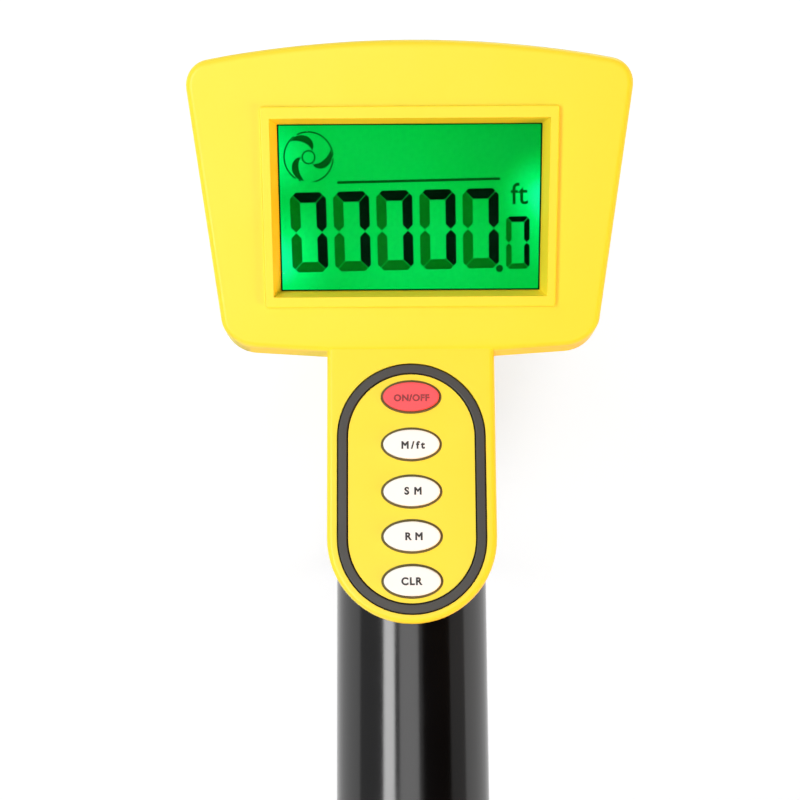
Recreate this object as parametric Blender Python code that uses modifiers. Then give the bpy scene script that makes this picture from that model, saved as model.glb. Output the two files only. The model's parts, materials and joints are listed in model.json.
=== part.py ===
"""A measuring wheel with a display head on a bent handle tube, a telescoping pole, a fork, a one-metre
wheel and a fold-up stand.

Lengths are metres and angles are degrees. +X is the axle, +Y is forward and +Z is up. The origin is
where the tyre meets the ground.
"""

import math

import bmesh
import bpy
from mathutils import Matrix, Vector

# Fits
FIT_GAP = 0.0003
RUN_GAP = 0.0004
KEY_GAP = 0.00045
HOLE_GAP = 0.0003
CUT_OVERLAP = 0.004
MERGE_DISTANCE = 0.00001

# Facets
WHEEL_STEPS = 48
POLE_STEPS = 24
SMALL_STEPS = 16
KEY_STEPS = 20
SCREW_STEPS = 8
HEX_STEPS = 6
ARC_STEPS = 4
STADIUM_STEPS = 10
BEND_STEPS = 8
PIPE_RESOLUTION = 10
BEVEL_SEGMENTS = 1
BACK_SEGMENTS = 2
BEVEL_LIMIT_DEG = 50.0
SHARP_DEG = 40.0

# How the tool stands and bends
POLE_LEAN_DEG = 15.0
GRIP_BEND_DEG = 76.0
DISPLAY_TILT_DEG = 22.0

# Wheel
TYRE_RADIUS = 0.15915
TYRE_DEPTH = 0.01315
TYRE_HALF_WIDTH = 0.016
TYRE_TREAD_HALF_WIDTH = 0.012
TYRE_SHOULDER_DROP = 0.0022
TYRE_SEAT_HALF_WIDTH = 0.0145
TYRE_BULGE_DROP = 0.00715
RIM_HALF_WIDTH = 0.013
RIM_THICKNESS = 0.012
RIM_FLARE = 0.004
WEB_HALF_THICKNESS = 0.004
HUB_RADIUS = 0.025
HUB_HALF_WIDTH = 0.015
HUB_FLARE = 0.003
HUB_SHOULDER_RADIUS = 0.0105
WINDOW_COUNT = 6
WINDOW_RIM_GAP = 0.013
WINDOW_HUB_GAP = 0.013
WINDOW_OUTER_HALF_DEG = 18.0
WINDOW_INNER_HALF_DEG = 7.0
WINDOW_OUTER_CORNER = 0.008
WINDOW_INNER_CORNER = 0.006

# Axle and bearings
AXLE_RADIUS = 0.005
AXLE_HALF_LENGTH = 0.039
RACE_OUTER_RADIUS = 0.012
RACE_SPLIT_RADIUS = 0.009
RACE_WIDTH = 0.008
RACE_INSET = 0.0006
AXLE_SPACER_RADIUS = 0.008
NUT_RADIUS = 0.0095
NUT_THICKNESS = 0.006

# Counter on the left of the hub
MAGNET_RING_OUTER = 0.023
MAGNET_RING_INNER = 0.0145
MAGNET_RING_THICKNESS = 0.003
SENSOR_HALF_WIDTH = 0.0065
SENSOR_LOW = 0.012
SENSOR_HIGH = 0.029
SENSOR_THICKNESS = 0.0045
SENSOR_SCREW_HEIGHT = 0.0215
SENSOR_SCREW_RADIUS = 0.0016
SENSOR_SCREW_HEAD_RADIUS = 0.0035
SENSOR_SCREW_HEAD = 0.0022
SENSOR_SCREW_REACH = 0.0028

# Fork
LEG_INNER_FACE = 0.024
LEG_THICKNESS = 0.005
LEG_HALF_WIDTH = 0.0145
LEG_ABOVE_BOLT = 0.006
CROWN_TYRE_GAP = 0.00885
CROWN_SHOULDER = 0.010
CROWN_SOCKET_DEPTH = 0.042
CROWN_HALF_DEPTH = 0.019
CROWN_BOSS_RADIUS = 0.0215
CROWN_BOLT_RISE = 0.007
CROWN_FLOOR_RISE = 0.007
CROWN_BOLT_RADIUS = 0.003
CROWN_BOLT_HEAD_RADIUS = 0.006
CROWN_BOLT_HEAD = 0.004
CROWN_BOLT_REACH = 0.014

# Start pointer on the right of the fork
POINTER_EYE_RADIUS = 0.012
POINTER_THICKNESS = 0.002
POINTER_TIP_RADIUS = 0.001
POINTER_TIP_HEIGHT = 0.012
POINTER_NECK_RADIUS = 0.005
POINTER_NECK_DROP = 0.09

# Stand
STAND_PIVOT_BACK = 0.026
STAND_PIVOT_HEIGHT = 0.040
STAND_EYE_RADIUS = 0.009
STAND_LEG_THICKNESS = 0.004
STAND_LEG_HALF_WIDTH = 0.005
STAND_FOOT_SIDE = 0.056
STAND_FOOT_BACK = 0.220
STAND_FOOT_RADIUS = 0.0095
STAND_FOOT_TOP = 0.022
STAND_LEG_END_HEIGHT = 0.006
STAND_BAR_RADIUS = 0.004
STAND_ROOT_SHARE = 0.025
STAND_BAR_SHARE = 0.80
STAND_BAR_CLEARANCE = 0.0009
STAND_PIN_RADIUS = 0.003
STAND_PIN_HEAD_RADIUS = 0.006
STAND_PIN_HEAD = 0.0022

# Telescoping pole
LOWER_POLE_RADIUS = 0.016
UPPER_POLE_RADIUS = 0.014
POLE_WALL = 0.0016
LOWER_POLE_LENGTH = 0.298
POLE_OVERLAP = 0.060

# Clamp at the top of the lower pole
COLLAR_RADIUS = 0.022
COLLAR_BELOW_TOP = 0.013
COLLAR_ABOVE_TOP = 0.021
LUG_REACH = 0.035
LUG_HALF_WIDTH = 0.007
LUG_SLOT_START = 0.0216
LEVER_HALF_HEIGHT = 0.0085
CLAMP_PIN_SIDE = 0.029
CLAMP_PIN_RADIUS = 0.0025
CLAMP_PIN_OVERHANG = 0.001
LEVER_BOSS_RADIUS = 0.0055
LEVER_COLLAR_GAP = 0.0012
LEVER_THICKNESS = 0.004
LEVER_START_DEG = -4.0
LEVER_END_DEG = -165.0
LEVER_STEPS = 12
PAD_PROUD = 0.0006
PAD_HALF_WIDTH = 0.0035
PAD_HALF_HEIGHT = 0.0035
PAD_ABOVE_POLE = 0.005

# Handle tube
TUBE_RADIUS = 0.0175
TUBE_WALL = 0.00315
ELBOW_HEIGHT = 0.800
TUBE_SKIRT = 0.072
TUBE_OVER_POLE = 0.029
BEND_RADIUS = 0.045
GRIP_LENGTH = 0.165
CAP_FLANGE = 0.005
CAP_ROUNDING = 0.0025
CAP_PLUG = 0.014
HANDLE_SCREW_RISE = 0.014
HANDLE_SCREW_RADIUS = 0.002
HANDLE_SCREW_HEAD_RADIUS = 0.0042
HANDLE_SCREW_HEAD = 0.0026
HANDLE_SCREW_REACH = 0.0065

# Where the display housing meets the keypad tongue
CREASE_ALONG_GRIP = 0.012
FACE_ABOVE_GRIP_AXIS = 0.0265

# Display housing, in a frame at the crease with +Y up the display and +Z out of it
HOUSING_HALF_WIDTH_LOW = 0.0410
HOUSING_HALF_WIDTH_HIGH = 0.0479
HOUSING_TOP = 0.0664
HOUSING_TOP_DROP = 0.0047
HOUSING_TOP_STEPS = 6
HOUSING_LOW_DROP = 0.0015
HOUSING_LOW_CORNER = 0.008
HOUSING_HIGH_CORNER = 0.0055
FACE_SHELL_DEPTH = 0.012
BACK_SHELL_DEPTH = 0.028
BACK_ROUNDING = 0.0050
FACE_EDGE_ROUNDING = 0.0016
FACE_WALL = 0.0035
BACK_FLOOR = 0.0038
CAVITY_LONG_LOW = 0.003
CAVITY_BACK_LOW = 0.010
CAVITY_PANEL_GAP = 0.0004
CAVITY_BOARD_GAP = 0.0025
CAVITY_WIDE_HALF_WIDTH = 0.0375
CAVITY_WIDE_LOW = 0.014
CAVITY_WIDE_HIGH = 0.050

# Bezel and display
OPENING_HALF_WIDTH = 0.0284
OPENING_LOW = 0.0132
OPENING_HIGH = 0.0491
BEZEL_SIDE = 0.0018
BEZEL_BELOW = 0.0023
BEZEL_ABOVE = 0.0024
BEZEL_CORNER = 0.0008
BEZEL_RISE = 0.0012
BEZEL_ROUNDING = 0.0005
RECESS_SIDE = 0.0015
RECESS_BELOW = 0.0010
RECESS_ABOVE = 0.0014
RECESS_DEPTH = 0.0022
PANE_THICKNESS = 0.0012
PANE_DEPTH = 0.00225
PANEL_SIDE = 0.0005
PANEL_BELOW = 0.0017
PANEL_ABOVE = 0.0024
PANEL_THICKNESS = 0.0046
BOARD_THICKNESS = 0.0016
BOARD_ABOVE_PANEL = 0.0085

# Batteries and their cover
CELL_RADIUS = 0.00525
CELL_HALF_LENGTH = 0.02225
CELL_NUB_RADIUS = 0.0019
CELL_NUB = 0.0008
CELL_COUNT = 3
CELL_FIRST = 0.027
CELL_PITCH = 0.0116
CELL_DEPTH = 0.0180
CONTACT_THICKNESS = 0.0006
CONTACT_HEIGHT = 0.0045
BAY_CELL_GAP = 0.00025
BAY_BELOW = 0.00125
BAY_ABOVE = 0.00155
COVER_SIDE_LAP = 0.006
COVER_LOW_LAP = 0.0025
COVER_HIGH_LAP = 0.0035
COVER_DOVETAIL = 0.0010
COVER_THICKNESS = 0.0018
COVER_GRIP_DEPTH = 0.0006
COVER_GRIP_HALF_WIDTH = 0.009
COVER_GRIP_RISE = 0.0035
COVER_GRIP_HEIGHT = 0.003

# Screws that hold the two shells together
CASE_SCREW_LOW_SIDE = 0.0345
CASE_SCREW_LOW = 0.0080
CASE_SCREW_HIGH_SIDE = 0.0380
CASE_SCREW_HIGH = 0.0560
CASE_SCREW_RADIUS = 0.00125
CASE_SCREW_HEAD_RADIUS = 0.0025
CASE_SCREW_HEAD = 0.0016
CASE_SCREW_SINK = 0.0090
CASE_SCREW_TIP = 0.0055

# Keypad tongue, in a frame at the crease with +Y towards the display and +Z out of it
TONGUE_HALF_WIDTH = 0.0185
TONGUE_LENGTH = 0.0594
TONGUE_FACE_DEPTH = 0.0063
TONGUE_WALL = 0.0024
TONGUE_CAVITY_INSET = 0.0022
TONGUE_CAVITY_HIGH = 0.0030
TONGUE_EDGE_ROUNDING = 0.0009
TONGUE_OVERLAP = 0.0030
TONGUE_BASE_BOTTOM = 0.0165
TONGUE_BASE_INSET = 0.0004
RING_SIDE_INSET = 0.0025
RING_END_INSET = 0.0022
RING_HIGH = 0.0030
RING_WIDTH = 0.0019
RING_SINK = 0.0008
RING_RISE = 0.00025
KEY_NAMES = ("power_key", "unit_key", "store_key", "recall_key", "clear_key")
KEY_HALF_WIDTH = 0.0064
KEY_HALF_HEIGHT = 0.00355
KEY_ROW_CENTRES = (0.0102, 0.0207, 0.0310, 0.0407, 0.0503)
KEY_RISE = 0.0008
KEY_SINK = 0.0028
KEY_ROUNDING = 0.0004
KEY_TRAVEL = 0.0006
MAT_THICKNESS = 0.0008
KEY_BOARD_THICKNESS = 0.0014

# Sizes that follow from those above. Heights on the pole are measured from the axle along it.
TYRE_INNER_RADIUS = TYRE_RADIUS - TYRE_DEPTH
TYRE_BULGE_RADIUS = TYRE_RADIUS - TYRE_BULGE_DROP
RIM_INNER_RADIUS = TYRE_INNER_RADIUS - RIM_THICKNESS
WINDOW_OUTER_RADIUS = RIM_INNER_RADIUS - RIM_FLARE - WINDOW_RIM_GAP - WINDOW_OUTER_CORNER
WINDOW_INNER_RADIUS = HUB_RADIUS + HUB_FLARE + WINDOW_HUB_GAP + WINDOW_INNER_CORNER
CROWN_BOTTOM = TYRE_RADIUS + CROWN_TYRE_GAP
CROWN_BOLT_HEIGHT = CROWN_BOTTOM + CROWN_BOLT_RISE
LEG_TOP = CROWN_BOLT_HEIGHT + LEG_ABOVE_BOLT
CROWN_FLOOR = CROWN_BOLT_HEIGHT + CROWN_FLOOR_RISE
CROWN_BLOCK_TOP = CROWN_FLOOR + CROWN_SHOULDER
CROWN_TOP = CROWN_FLOOR + CROWN_SOCKET_DEPTH
LOWER_POLE_TOP = CROWN_FLOOR + LOWER_POLE_LENGTH
UPPER_POLE_BOTTOM = LOWER_POLE_TOP - POLE_OVERLAP
COLLAR_BOTTOM = LOWER_POLE_TOP - COLLAR_BELOW_TOP
COLLAR_TOP = LOWER_POLE_TOP + COLLAR_ABOVE_TOP
PAD_LOW = LOWER_POLE_TOP + PAD_ABOVE_POLE
PAD_HIGH = PAD_LOW + 2 * PAD_HALF_HEIGHT
PAD_OUTER_FACE = COLLAR_RADIUS + PAD_PROUD
LEVER_INNER_RADIUS = COLLAR_RADIUS + LEVER_COLLAR_GAP
TUBE_BOTTOM = ELBOW_HEIGHT - TUBE_SKIRT
UPPER_POLE_TOP = TUBE_BOTTOM + TUBE_OVER_POLE
HANDLE_SCREW_HEIGHT = TUBE_BOTTOM + HANDLE_SCREW_RISE
RECESS_HALF_WIDTH = OPENING_HALF_WIDTH + RECESS_SIDE
RECESS_LOW = OPENING_LOW - RECESS_BELOW
RECESS_HIGH = OPENING_HIGH + RECESS_ABOVE
BEZEL_HALF_WIDTH = RECESS_HALF_WIDTH + BEZEL_SIDE
BEZEL_LOW = RECESS_LOW - BEZEL_BELOW
BEZEL_HIGH = RECESS_HIGH + BEZEL_ABOVE
PANEL_HALF_WIDTH = OPENING_HALF_WIDTH + PANEL_SIDE
PANEL_LOW = OPENING_LOW - PANEL_BELOW
PANEL_HIGH = OPENING_HIGH + PANEL_ABOVE
BOARD_HIGH = PANEL_HIGH + BOARD_ABOVE_PANEL
CAVITY_LONG_HALF_WIDTH = PANEL_HALF_WIDTH + CAVITY_PANEL_GAP
CAVITY_LONG_HIGH = BOARD_HIGH + CAVITY_BOARD_GAP
CELL_ROW_LOW = CELL_FIRST - CELL_RADIUS
CELL_ROW_HIGH = CELL_FIRST + CELL_PITCH * (CELL_COUNT - 1) + CELL_RADIUS
BAY_HALF_WIDTH = CELL_HALF_LENGTH + BAY_CELL_GAP
BAY_LOW = CELL_ROW_LOW - BAY_BELOW
BAY_HIGH = CELL_ROW_HIGH + BAY_ABOVE
COVER_HALF_WIDTH = BAY_HALF_WIDTH + COVER_SIDE_LAP
COVER_LOW = BAY_LOW - COVER_LOW_LAP
COVER_HIGH = BAY_HIGH + COVER_HIGH_LAP
COVER_GRIP_LOW = COVER_LOW + COVER_GRIP_RISE
COVER_GRIP_HIGH = COVER_GRIP_LOW + COVER_GRIP_HEIGHT
RING_HALF_WIDTH = TONGUE_HALF_WIDTH - RING_SIDE_INSET
RING_LOW = TONGUE_LENGTH - RING_END_INSET

# Colours as red, green and blue, with roughness and metal
YELLOW_PLASTIC = ((0.95, 0.82, 0.10), 0.35, 0.0)
BLACK_PLASTIC = ((0.02, 0.02, 0.022), 0.45, 0.0)
BLACK_GLOSS = ((0.006, 0.006, 0.007), 0.08, 0.0)
GREY_PLASTIC = ((0.13, 0.125, 0.12), 0.45, 0.0)
WHITE_RUBBER = ((0.90, 0.90, 0.89), 0.4, 0.0)
RED_RUBBER = ((0.95, 0.12, 0.13), 0.4, 0.0)
BLACK_RUBBER = ((0.03, 0.03, 0.03), 0.8, 0.0)
STEEL = ((0.62, 0.62, 0.63), 0.3, 1.0)
DARK_STEEL = ((0.20, 0.20, 0.21), 0.35, 1.0)
ALUMINIUM = ((0.75, 0.76, 0.77), 0.3, 1.0)
BRASS = ((0.80, 0.62, 0.30), 0.3, 1.0)
BOARD_GREEN = ((0.02, 0.22, 0.09), 0.5, 0.0)
DISPLAY_GREEN = ((0.02, 0.60, 0.10), 0.3, 0.0)
CLEAR = ((0.85, 0.95, 0.88), 0.05, 0.0)
CELL_BLUE = ((0.05, 0.12, 0.35), 0.35, 0.0)
POINTER_RED = ((0.75, 0.04, 0.03), 0.4, 0.0)


def clear_scene():
    for old in list(bpy.data.objects):
        bpy.data.objects.remove(old, do_unlink=True)


def new_collection(name):
    collection = bpy.data.collections.new(name)
    bpy.context.scene.collection.children.link(collection)
    return collection


clear_scene()
PART = new_collection("measuring_wheel")
CUTTERS = new_collection("cutters")

# Frames
GROUND = Matrix.Identity(4)
WHEEL = Matrix.Translation((0, 0, TYRE_RADIUS))
POLE = WHEEL @ Matrix.Rotation(math.radians(POLE_LEAN_DEG), 4, "X")
ELBOW = POLE @ Matrix.Translation((0, 0, ELBOW_HEIGHT))
GRIP = ELBOW @ Matrix.Rotation(math.radians(GRIP_BEND_DEG), 4, "X")
TONGUE = (
    GRIP
    @ Matrix.Translation((0, FACE_ABOVE_GRIP_AXIS, CREASE_ALONG_GRIP))
    @ Matrix.Rotation(math.radians(-90), 4, "X")
)
DISPLAY = TONGUE @ Matrix.Rotation(math.radians(DISPLAY_TILT_DEG), 4, "X")

# A shape is drawn along its own Z. These turn it to lie along another axis of its frame.
ALONG_Z = Matrix.Identity(4)
ALONG_X = Matrix(((0, 0, 1, 0), (1, 0, 0, 0), (0, 1, 0, 0), (0, 0, 0, 1)))
ALONG_Y = Matrix(((1, 0, 0, 0), (0, 0, -1, 0), (0, 1, 0, 0), (0, 0, 0, 1)))

# Places that several pieces share
PIVOT = (-STAND_PIVOT_BACK, STAND_PIVOT_HEIGHT)
CROWN_BOLT = (0, CROWN_BOLT_HEIGHT)
CLAMP_PIN = (CLAMP_PIN_SIDE, 0)
LEVER_LOW = (COLLAR_BOTTOM + COLLAR_TOP) / 2 - LEVER_HALF_HEIGHT
LEVER_HIGH = LEVER_LOW + 2 * LEVER_HALF_HEIGHT
COVER_ORIGIN = (0, (COVER_LOW + COVER_HIGH) / 2, -BACK_SHELL_DEPTH)

# Modelling tools


def finish_of(name, look):
    colour, roughness, metal = look
    material = bpy.data.materials.new(name + "_finish")
    material.use_nodes = True
    shader = material.node_tree.nodes["Principled BSDF"]
    shader.inputs["Base Color"].default_value = (*colour, 1)
    shader.inputs["Roughness"].default_value = roughness
    shader.inputs["Metallic"].default_value = metal
    return material


def add_object(name, mesh, frame, look, origin=(0, 0, 0)):
    """An object in a frame, with its own origin. With a look it is a piece, without one a cutter."""
    mesh.transform(Matrix.Translation(-Vector(origin)))
    made = bpy.data.objects.new(name, mesh)
    made.matrix_world = frame @ Matrix.Translation(origin)
    if look:
        PART.objects.link(made)
        mesh.materials.append(finish_of(name, look))
        mesh.shade_smooth()
        mesh.set_sharp_from_angle(angle=math.radians(SHARP_DEG))
    else:
        CUTTERS.objects.link(made)
        made.hide_render = True
        made.display_type = "WIRE"
    return made


def mesh_of(name, shape):
    mesh = bpy.data.meshes.new(name)
    shape.to_mesh(mesh)
    shape.free()
    return mesh


def cylinder(name, radius, low, high, frame, look=None, **more):
    """A cylinder between two heights on an axis, by default the Z axis of its frame."""
    axis, steps = more.get("axis", ALONG_Z), more.get("steps", SMALL_STEPS)
    centre = Vector((*more.get("centre", (0, 0)), (low + high) / 2))
    shape = bmesh.new()
    bmesh.ops.create_cone(
        shape,
        cap_ends=True,
        segments=steps,
        radius1=radius,
        radius2=radius,
        depth=abs(high - low),
        matrix=axis @ Matrix.Translation(centre),
    )
    return add_object(name, mesh_of(name, shape), frame, look, more.get("origin", (0, 0, 0)))


def box(name, low, high, frame, look=None, origin=(0, 0, 0)):
    size = Vector(high) - Vector(low)
    centre = (Vector(high) + Vector(low)) / 2
    shape = bmesh.new()
    bmesh.ops.create_cube(shape, size=1, matrix=Matrix.Translation(centre) @ Matrix.Diagonal((*size, 1)))
    return add_object(name, mesh_of(name, shape), frame, look, origin)


def turned(name, profile, frame, look=None, axis=ALONG_Z, steps=POLE_STEPS, turn_deg=0.0):
    """A closed profile of (radius, height) turned round an axis of its frame."""
    area = sum(
        near[0] * far[1] - far[0] * near[1] for near, far in zip(profile, profile[1:] + profile[:1])
    )
    row = profile if area < 0 else profile[::-1]
    count = len(row)
    mesh = bpy.data.meshes.new(name)
    mesh.from_pydata(
        [(radius, 0, height) for radius, height in row],
        [(index, (index + 1) % count) for index in range(count)],
        [],
    )
    made = add_object(name, mesh, frame @ axis @ Matrix.Rotation(math.radians(turn_deg), 4, "Z"), look)
    screw = made.modifiers.new("turn", "SCREW")
    screw.steps = steps
    screw.render_steps = steps
    screw.use_merge_vertices = True
    screw.merge_threshold = MERGE_DISTANCE
    return made


def mesh_from_curve(name, curve):
    """The curve's shape as a mesh, with its caps welded on."""
    holder = bpy.data.objects.new(name, curve)
    CUTTERS.objects.link(holder)
    graph = bpy.context.evaluated_depsgraph_get()
    mesh = bpy.data.meshes.new_from_object(holder.evaluated_get(graph))
    bpy.data.objects.remove(holder, do_unlink=True)
    shape = bmesh.new()
    shape.from_mesh(mesh)
    bmesh.ops.remove_doubles(shape, verts=shape.verts, dist=MERGE_DISTANCE)
    shape.to_mesh(mesh)
    shape.free()
    mesh.name = name
    return mesh


def add_loop(curve, points):
    spline = curve.splines.new("POLY")
    spline.points.add(len(points) - 1)
    for point, place in zip(spline.points, points):
        point.co = (*place, 1)
    return spline


def slab(name, outlines, low, high, frame, look=None, **more):
    """Flat outlines, a border and any holes in it, thickened between two heights on an axis."""
    curve = bpy.data.curves.new(name, "CURVE")
    curve.dimensions = "2D"
    curve.fill_mode = "BOTH"
    curve.extrude = abs(high - low) / 2
    for outline in outlines:
        add_loop(curve, [(x, y, 0) for x, y in outline]).use_cyclic_u = True
    mesh = mesh_from_curve(name, curve)
    mesh.transform(more.get("axis", ALONG_Z) @ Matrix.Translation((0, 0, (low + high) / 2)))
    return add_object(name, mesh, frame, look, more.get("origin", (0, 0, 0)))


def pipe(name, route, radius, frame, look=None):
    """A round solid along a route."""
    curve = bpy.data.curves.new(name, "CURVE")
    curve.dimensions = "3D"
    curve.bevel_depth = radius
    curve.bevel_resolution = PIPE_RESOLUTION
    curve.use_fill_caps = True
    add_loop(curve, route)
    return add_object(name, mesh_from_curve(name, curve), frame, look)


def loft(name, low_outline, low, high_outline, high, frame):
    """A cutter between two unlike outlines with matching points."""
    count = len(low_outline)
    points = [(x, y, low) for x, y in low_outline] + [(x, y, high) for x, y in high_outline]
    faces = [tuple(range(count))[::-1], tuple(range(count, 2 * count))]
    for step in range(count):
        after = (step + 1) % count
        faces.append((step, after, count + after, count + step))
    mesh = bpy.data.meshes.new(name)
    mesh.from_pydata(points, [], faces)
    return add_object(name, mesh, frame, None)


def bevel(made, width, segments=BEVEL_SEGMENTS):
    modifier = made.modifiers.new("bevel", "BEVEL")
    modifier.width = width
    modifier.segments = segments
    modifier.limit_method = "ANGLE"
    modifier.angle_limit = math.radians(BEVEL_LIMIT_DEG)
    return made


def combine(made, operation, others):
    for other in others:
        modifier = made.modifiers.new(operation.lower(), "BOOLEAN")
        modifier.operation = operation
        modifier.solver = "EXACT"
        modifier.object = other
    return made


def cut(made, *others):
    return combine(made, "DIFFERENCE", others)


def join(made, *others):
    return combine(made, "UNION", others)


# Outlines


def circle(radius, steps=SMALL_STEPS, centre=(0, 0)):
    turns = [2 * math.pi * step / steps for step in range(steps)]
    return [(centre[0] + radius * math.cos(turn), centre[1] + radius * math.sin(turn)) for turn in turns]


def ellipse(half_width, half_height, centre):
    return [(centre[0] + half_width * x, centre[1] + half_height * y) for x, y in circle(1, KEY_STEPS)]


def turn_of(first, second, third):
    return (second[0] - first[0]) * (third[1] - first[1]) - (second[1] - first[1]) * (third[0] - first[0])


def hull(*groups):
    """The outline round all the points of the groups."""
    ordered = sorted({(round(x, 7), round(y, 7)) for group in groups for x, y in group})

    def chain(row):
        kept = []
        for point in row:
            while len(kept) > 1 and turn_of(kept[-2], kept[-1], point) <= 0:
                kept.pop()
            kept.append(point)
        return kept[:-1]

    return chain(ordered) + chain(ordered[::-1])


def rounded(corners):
    """An outline through (x, y, radius) corners, counter-clockwise, each with its arc."""
    outline = []
    for index, (x, y, radius) in enumerate(corners):
        if not radius:
            outline.append((x, y))
            continue
        here = Vector((x, y))
        before = (Vector(corners[index - 1][:2]) - here).normalized()
        after = (Vector(corners[(index + 1) % len(corners)][:2]) - here).normalized()
        half_angle = before.angle(after) / 2
        centre = here + (before + after).normalized() * radius / math.sin(half_angle)
        start = here + before * radius / math.tan(half_angle) - centre
        sweep = math.pi - 2 * half_angle
        for step in range(ARC_STEPS + 1):
            arm = start.copy()
            arm.rotate(Matrix.Rotation(sweep * step / ARC_STEPS, 2))
            outline.append(tuple(centre + arm))
    return outline


def rectangle(half_width, low, high, corner=0.0):
    corners = [(-half_width, low), (half_width, low), (half_width, high), (-half_width, high)]
    return rounded([(x, y, corner) for x, y in corners])


def half_turn(radius, middle, start_deg):
    turns = [math.radians(start_deg + 180 * step / STADIUM_STEPS) for step in range(STADIUM_STEPS + 1)]
    return [(radius * math.cos(turn), middle + radius * math.sin(turn)) for turn in turns]


def stadium(half_width, low, high):
    """A tall outline with a half circle at each end."""
    return half_turn(half_width, low + half_width, 180) + half_turn(half_width, high - half_width, 0)


def tongue_shape(half_width, low, high):
    """A tall outline with a half circle at its low end and a straight high end."""
    return half_turn(half_width, low + half_width, 180) + [(half_width, high), (-half_width, high)]


# Wheel


def make_tyre():
    flat = 1 / math.cos(math.pi / WHEEL_STEPS)
    half = [
        (TYRE_INNER_RADIUS + FIT_GAP, TYRE_SEAT_HALF_WIDTH),
        (TYRE_BULGE_RADIUS, TYRE_HALF_WIDTH),
        (TYRE_RADIUS - TYRE_SHOULDER_DROP, TYRE_SEAT_HALF_WIDTH),
        (TYRE_RADIUS, TYRE_TREAD_HALF_WIDTH),
    ]
    profile = [(radius * flat, side) for radius, side in mirrored(half)]
    turned("tyre", profile, WHEEL, BLACK_RUBBER, ALONG_X, WHEEL_STEPS, wheel_turn_deg())


def wheel_turn_deg():
    """Turns a wheel piece from a corner at the front to a flat at the ground."""
    return 90 + 180 / WHEEL_STEPS


def mirrored(half):
    return half + [(radius, -side) for radius, side in reversed(half)]


def window_outline(turn_deg):
    groups = []
    for radius, half_deg, corner in (
        (WINDOW_OUTER_RADIUS, WINDOW_OUTER_HALF_DEG, WINDOW_OUTER_CORNER),
        (WINDOW_INNER_RADIUS, WINDOW_INNER_HALF_DEG, WINDOW_INNER_CORNER),
    ):
        for side in (-1, 1):
            turn = math.radians(turn_deg + side * half_deg)
            groups.append(circle(corner, SCREW_STEPS, (radius * math.cos(turn), radius * math.sin(turn))))
    return hull(*groups)


def make_wheel_disc():
    half = [
        (HUB_SHOULDER_RADIUS, HUB_HALF_WIDTH - RACE_INSET - RACE_WIDTH - FIT_GAP),
        (RACE_OUTER_RADIUS + FIT_GAP, HUB_HALF_WIDTH - RACE_INSET - RACE_WIDTH - FIT_GAP),
        (RACE_OUTER_RADIUS + FIT_GAP, HUB_HALF_WIDTH),
        (HUB_RADIUS, HUB_HALF_WIDTH),
        (HUB_RADIUS + HUB_FLARE, WEB_HALF_THICKNESS),
        (RIM_INNER_RADIUS - RIM_FLARE, WEB_HALF_THICKNESS),
        (RIM_INNER_RADIUS, RIM_HALF_WIDTH),
        (TYRE_INNER_RADIUS, RIM_HALF_WIDTH),
    ]
    disc = turned(
        "wheel_disc", mirrored(half), WHEEL, YELLOW_PLASTIC, ALONG_X, WHEEL_STEPS, wheel_turn_deg()
    )
    reach = WEB_HALF_THICKNESS + CUT_OVERLAP
    for index in range(WINDOW_COUNT):
        outline = window_outline(360 * index / WINDOW_COUNT)
        cut(disc, slab(f"window_cutter_{index}", [outline], -reach, reach, WHEEL, axis=ALONG_X))


def ring(name, inner, outer, low, high, frame, look, axis=ALONG_X, steps=SMALL_STEPS):
    profile = [(inner, low), (outer, low), (outer, high), (inner, high)]
    return turned(name, profile, frame, look, axis, steps)


def make_bearings():
    bore = AXLE_RADIUS + HOLE_GAP
    split = RACE_SPLIT_RADIUS
    for side, word in ((-1, "left"), (1, "right")):
        far = side * (HUB_HALF_WIDTH - RACE_INSET)
        near = far - side * RACE_WIDTH
        ring(f"bearing_outer_{word}", split + RUN_GAP, RACE_OUTER_RADIUS, near, far, WHEEL, STEEL)
        ring(f"bearing_inner_{word}", bore, split, near, far, POLE, DARK_STEEL)
        start = far + side * FIT_GAP
        end = side * (LEG_INNER_FACE - FIT_GAP)
        ring(f"axle_spacer_{word}", bore, AXLE_SPACER_RADIUS, start, end, POLE, ALUMINIUM)


def make_axle():
    reach = AXLE_HALF_LENGTH
    cylinder("axle", AXLE_RADIUS, -reach, reach, POLE, STEEL, axis=ALONG_X)
    for side, word in ((-1, "left"), (1, "right")):
        near = side * (LEG_INNER_FACE + LEG_THICKNESS + FIT_GAP)
        if side > 0:
            near += POINTER_THICKNESS + FIT_GAP
        outlines = [circle(NUT_RADIUS, HEX_STEPS), circle(AXLE_RADIUS + HOLE_GAP)]
        slab(f"axle_nut_{word}", outlines, near, near + side * NUT_THICKNESS, POLE, STEEL, axis=ALONG_X)


def hole_x(name, radius, low, high, frame, centre=(0, 0), steps=SMALL_STEPS):
    """A cutter along X that is longer than the wall it goes through."""
    low, high = min(low, high) - CUT_OVERLAP, max(low, high) + CUT_OVERLAP
    return cylinder(name, radius + HOLE_GAP, low, high, frame, axis=ALONG_X, centre=centre, steps=steps)


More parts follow.
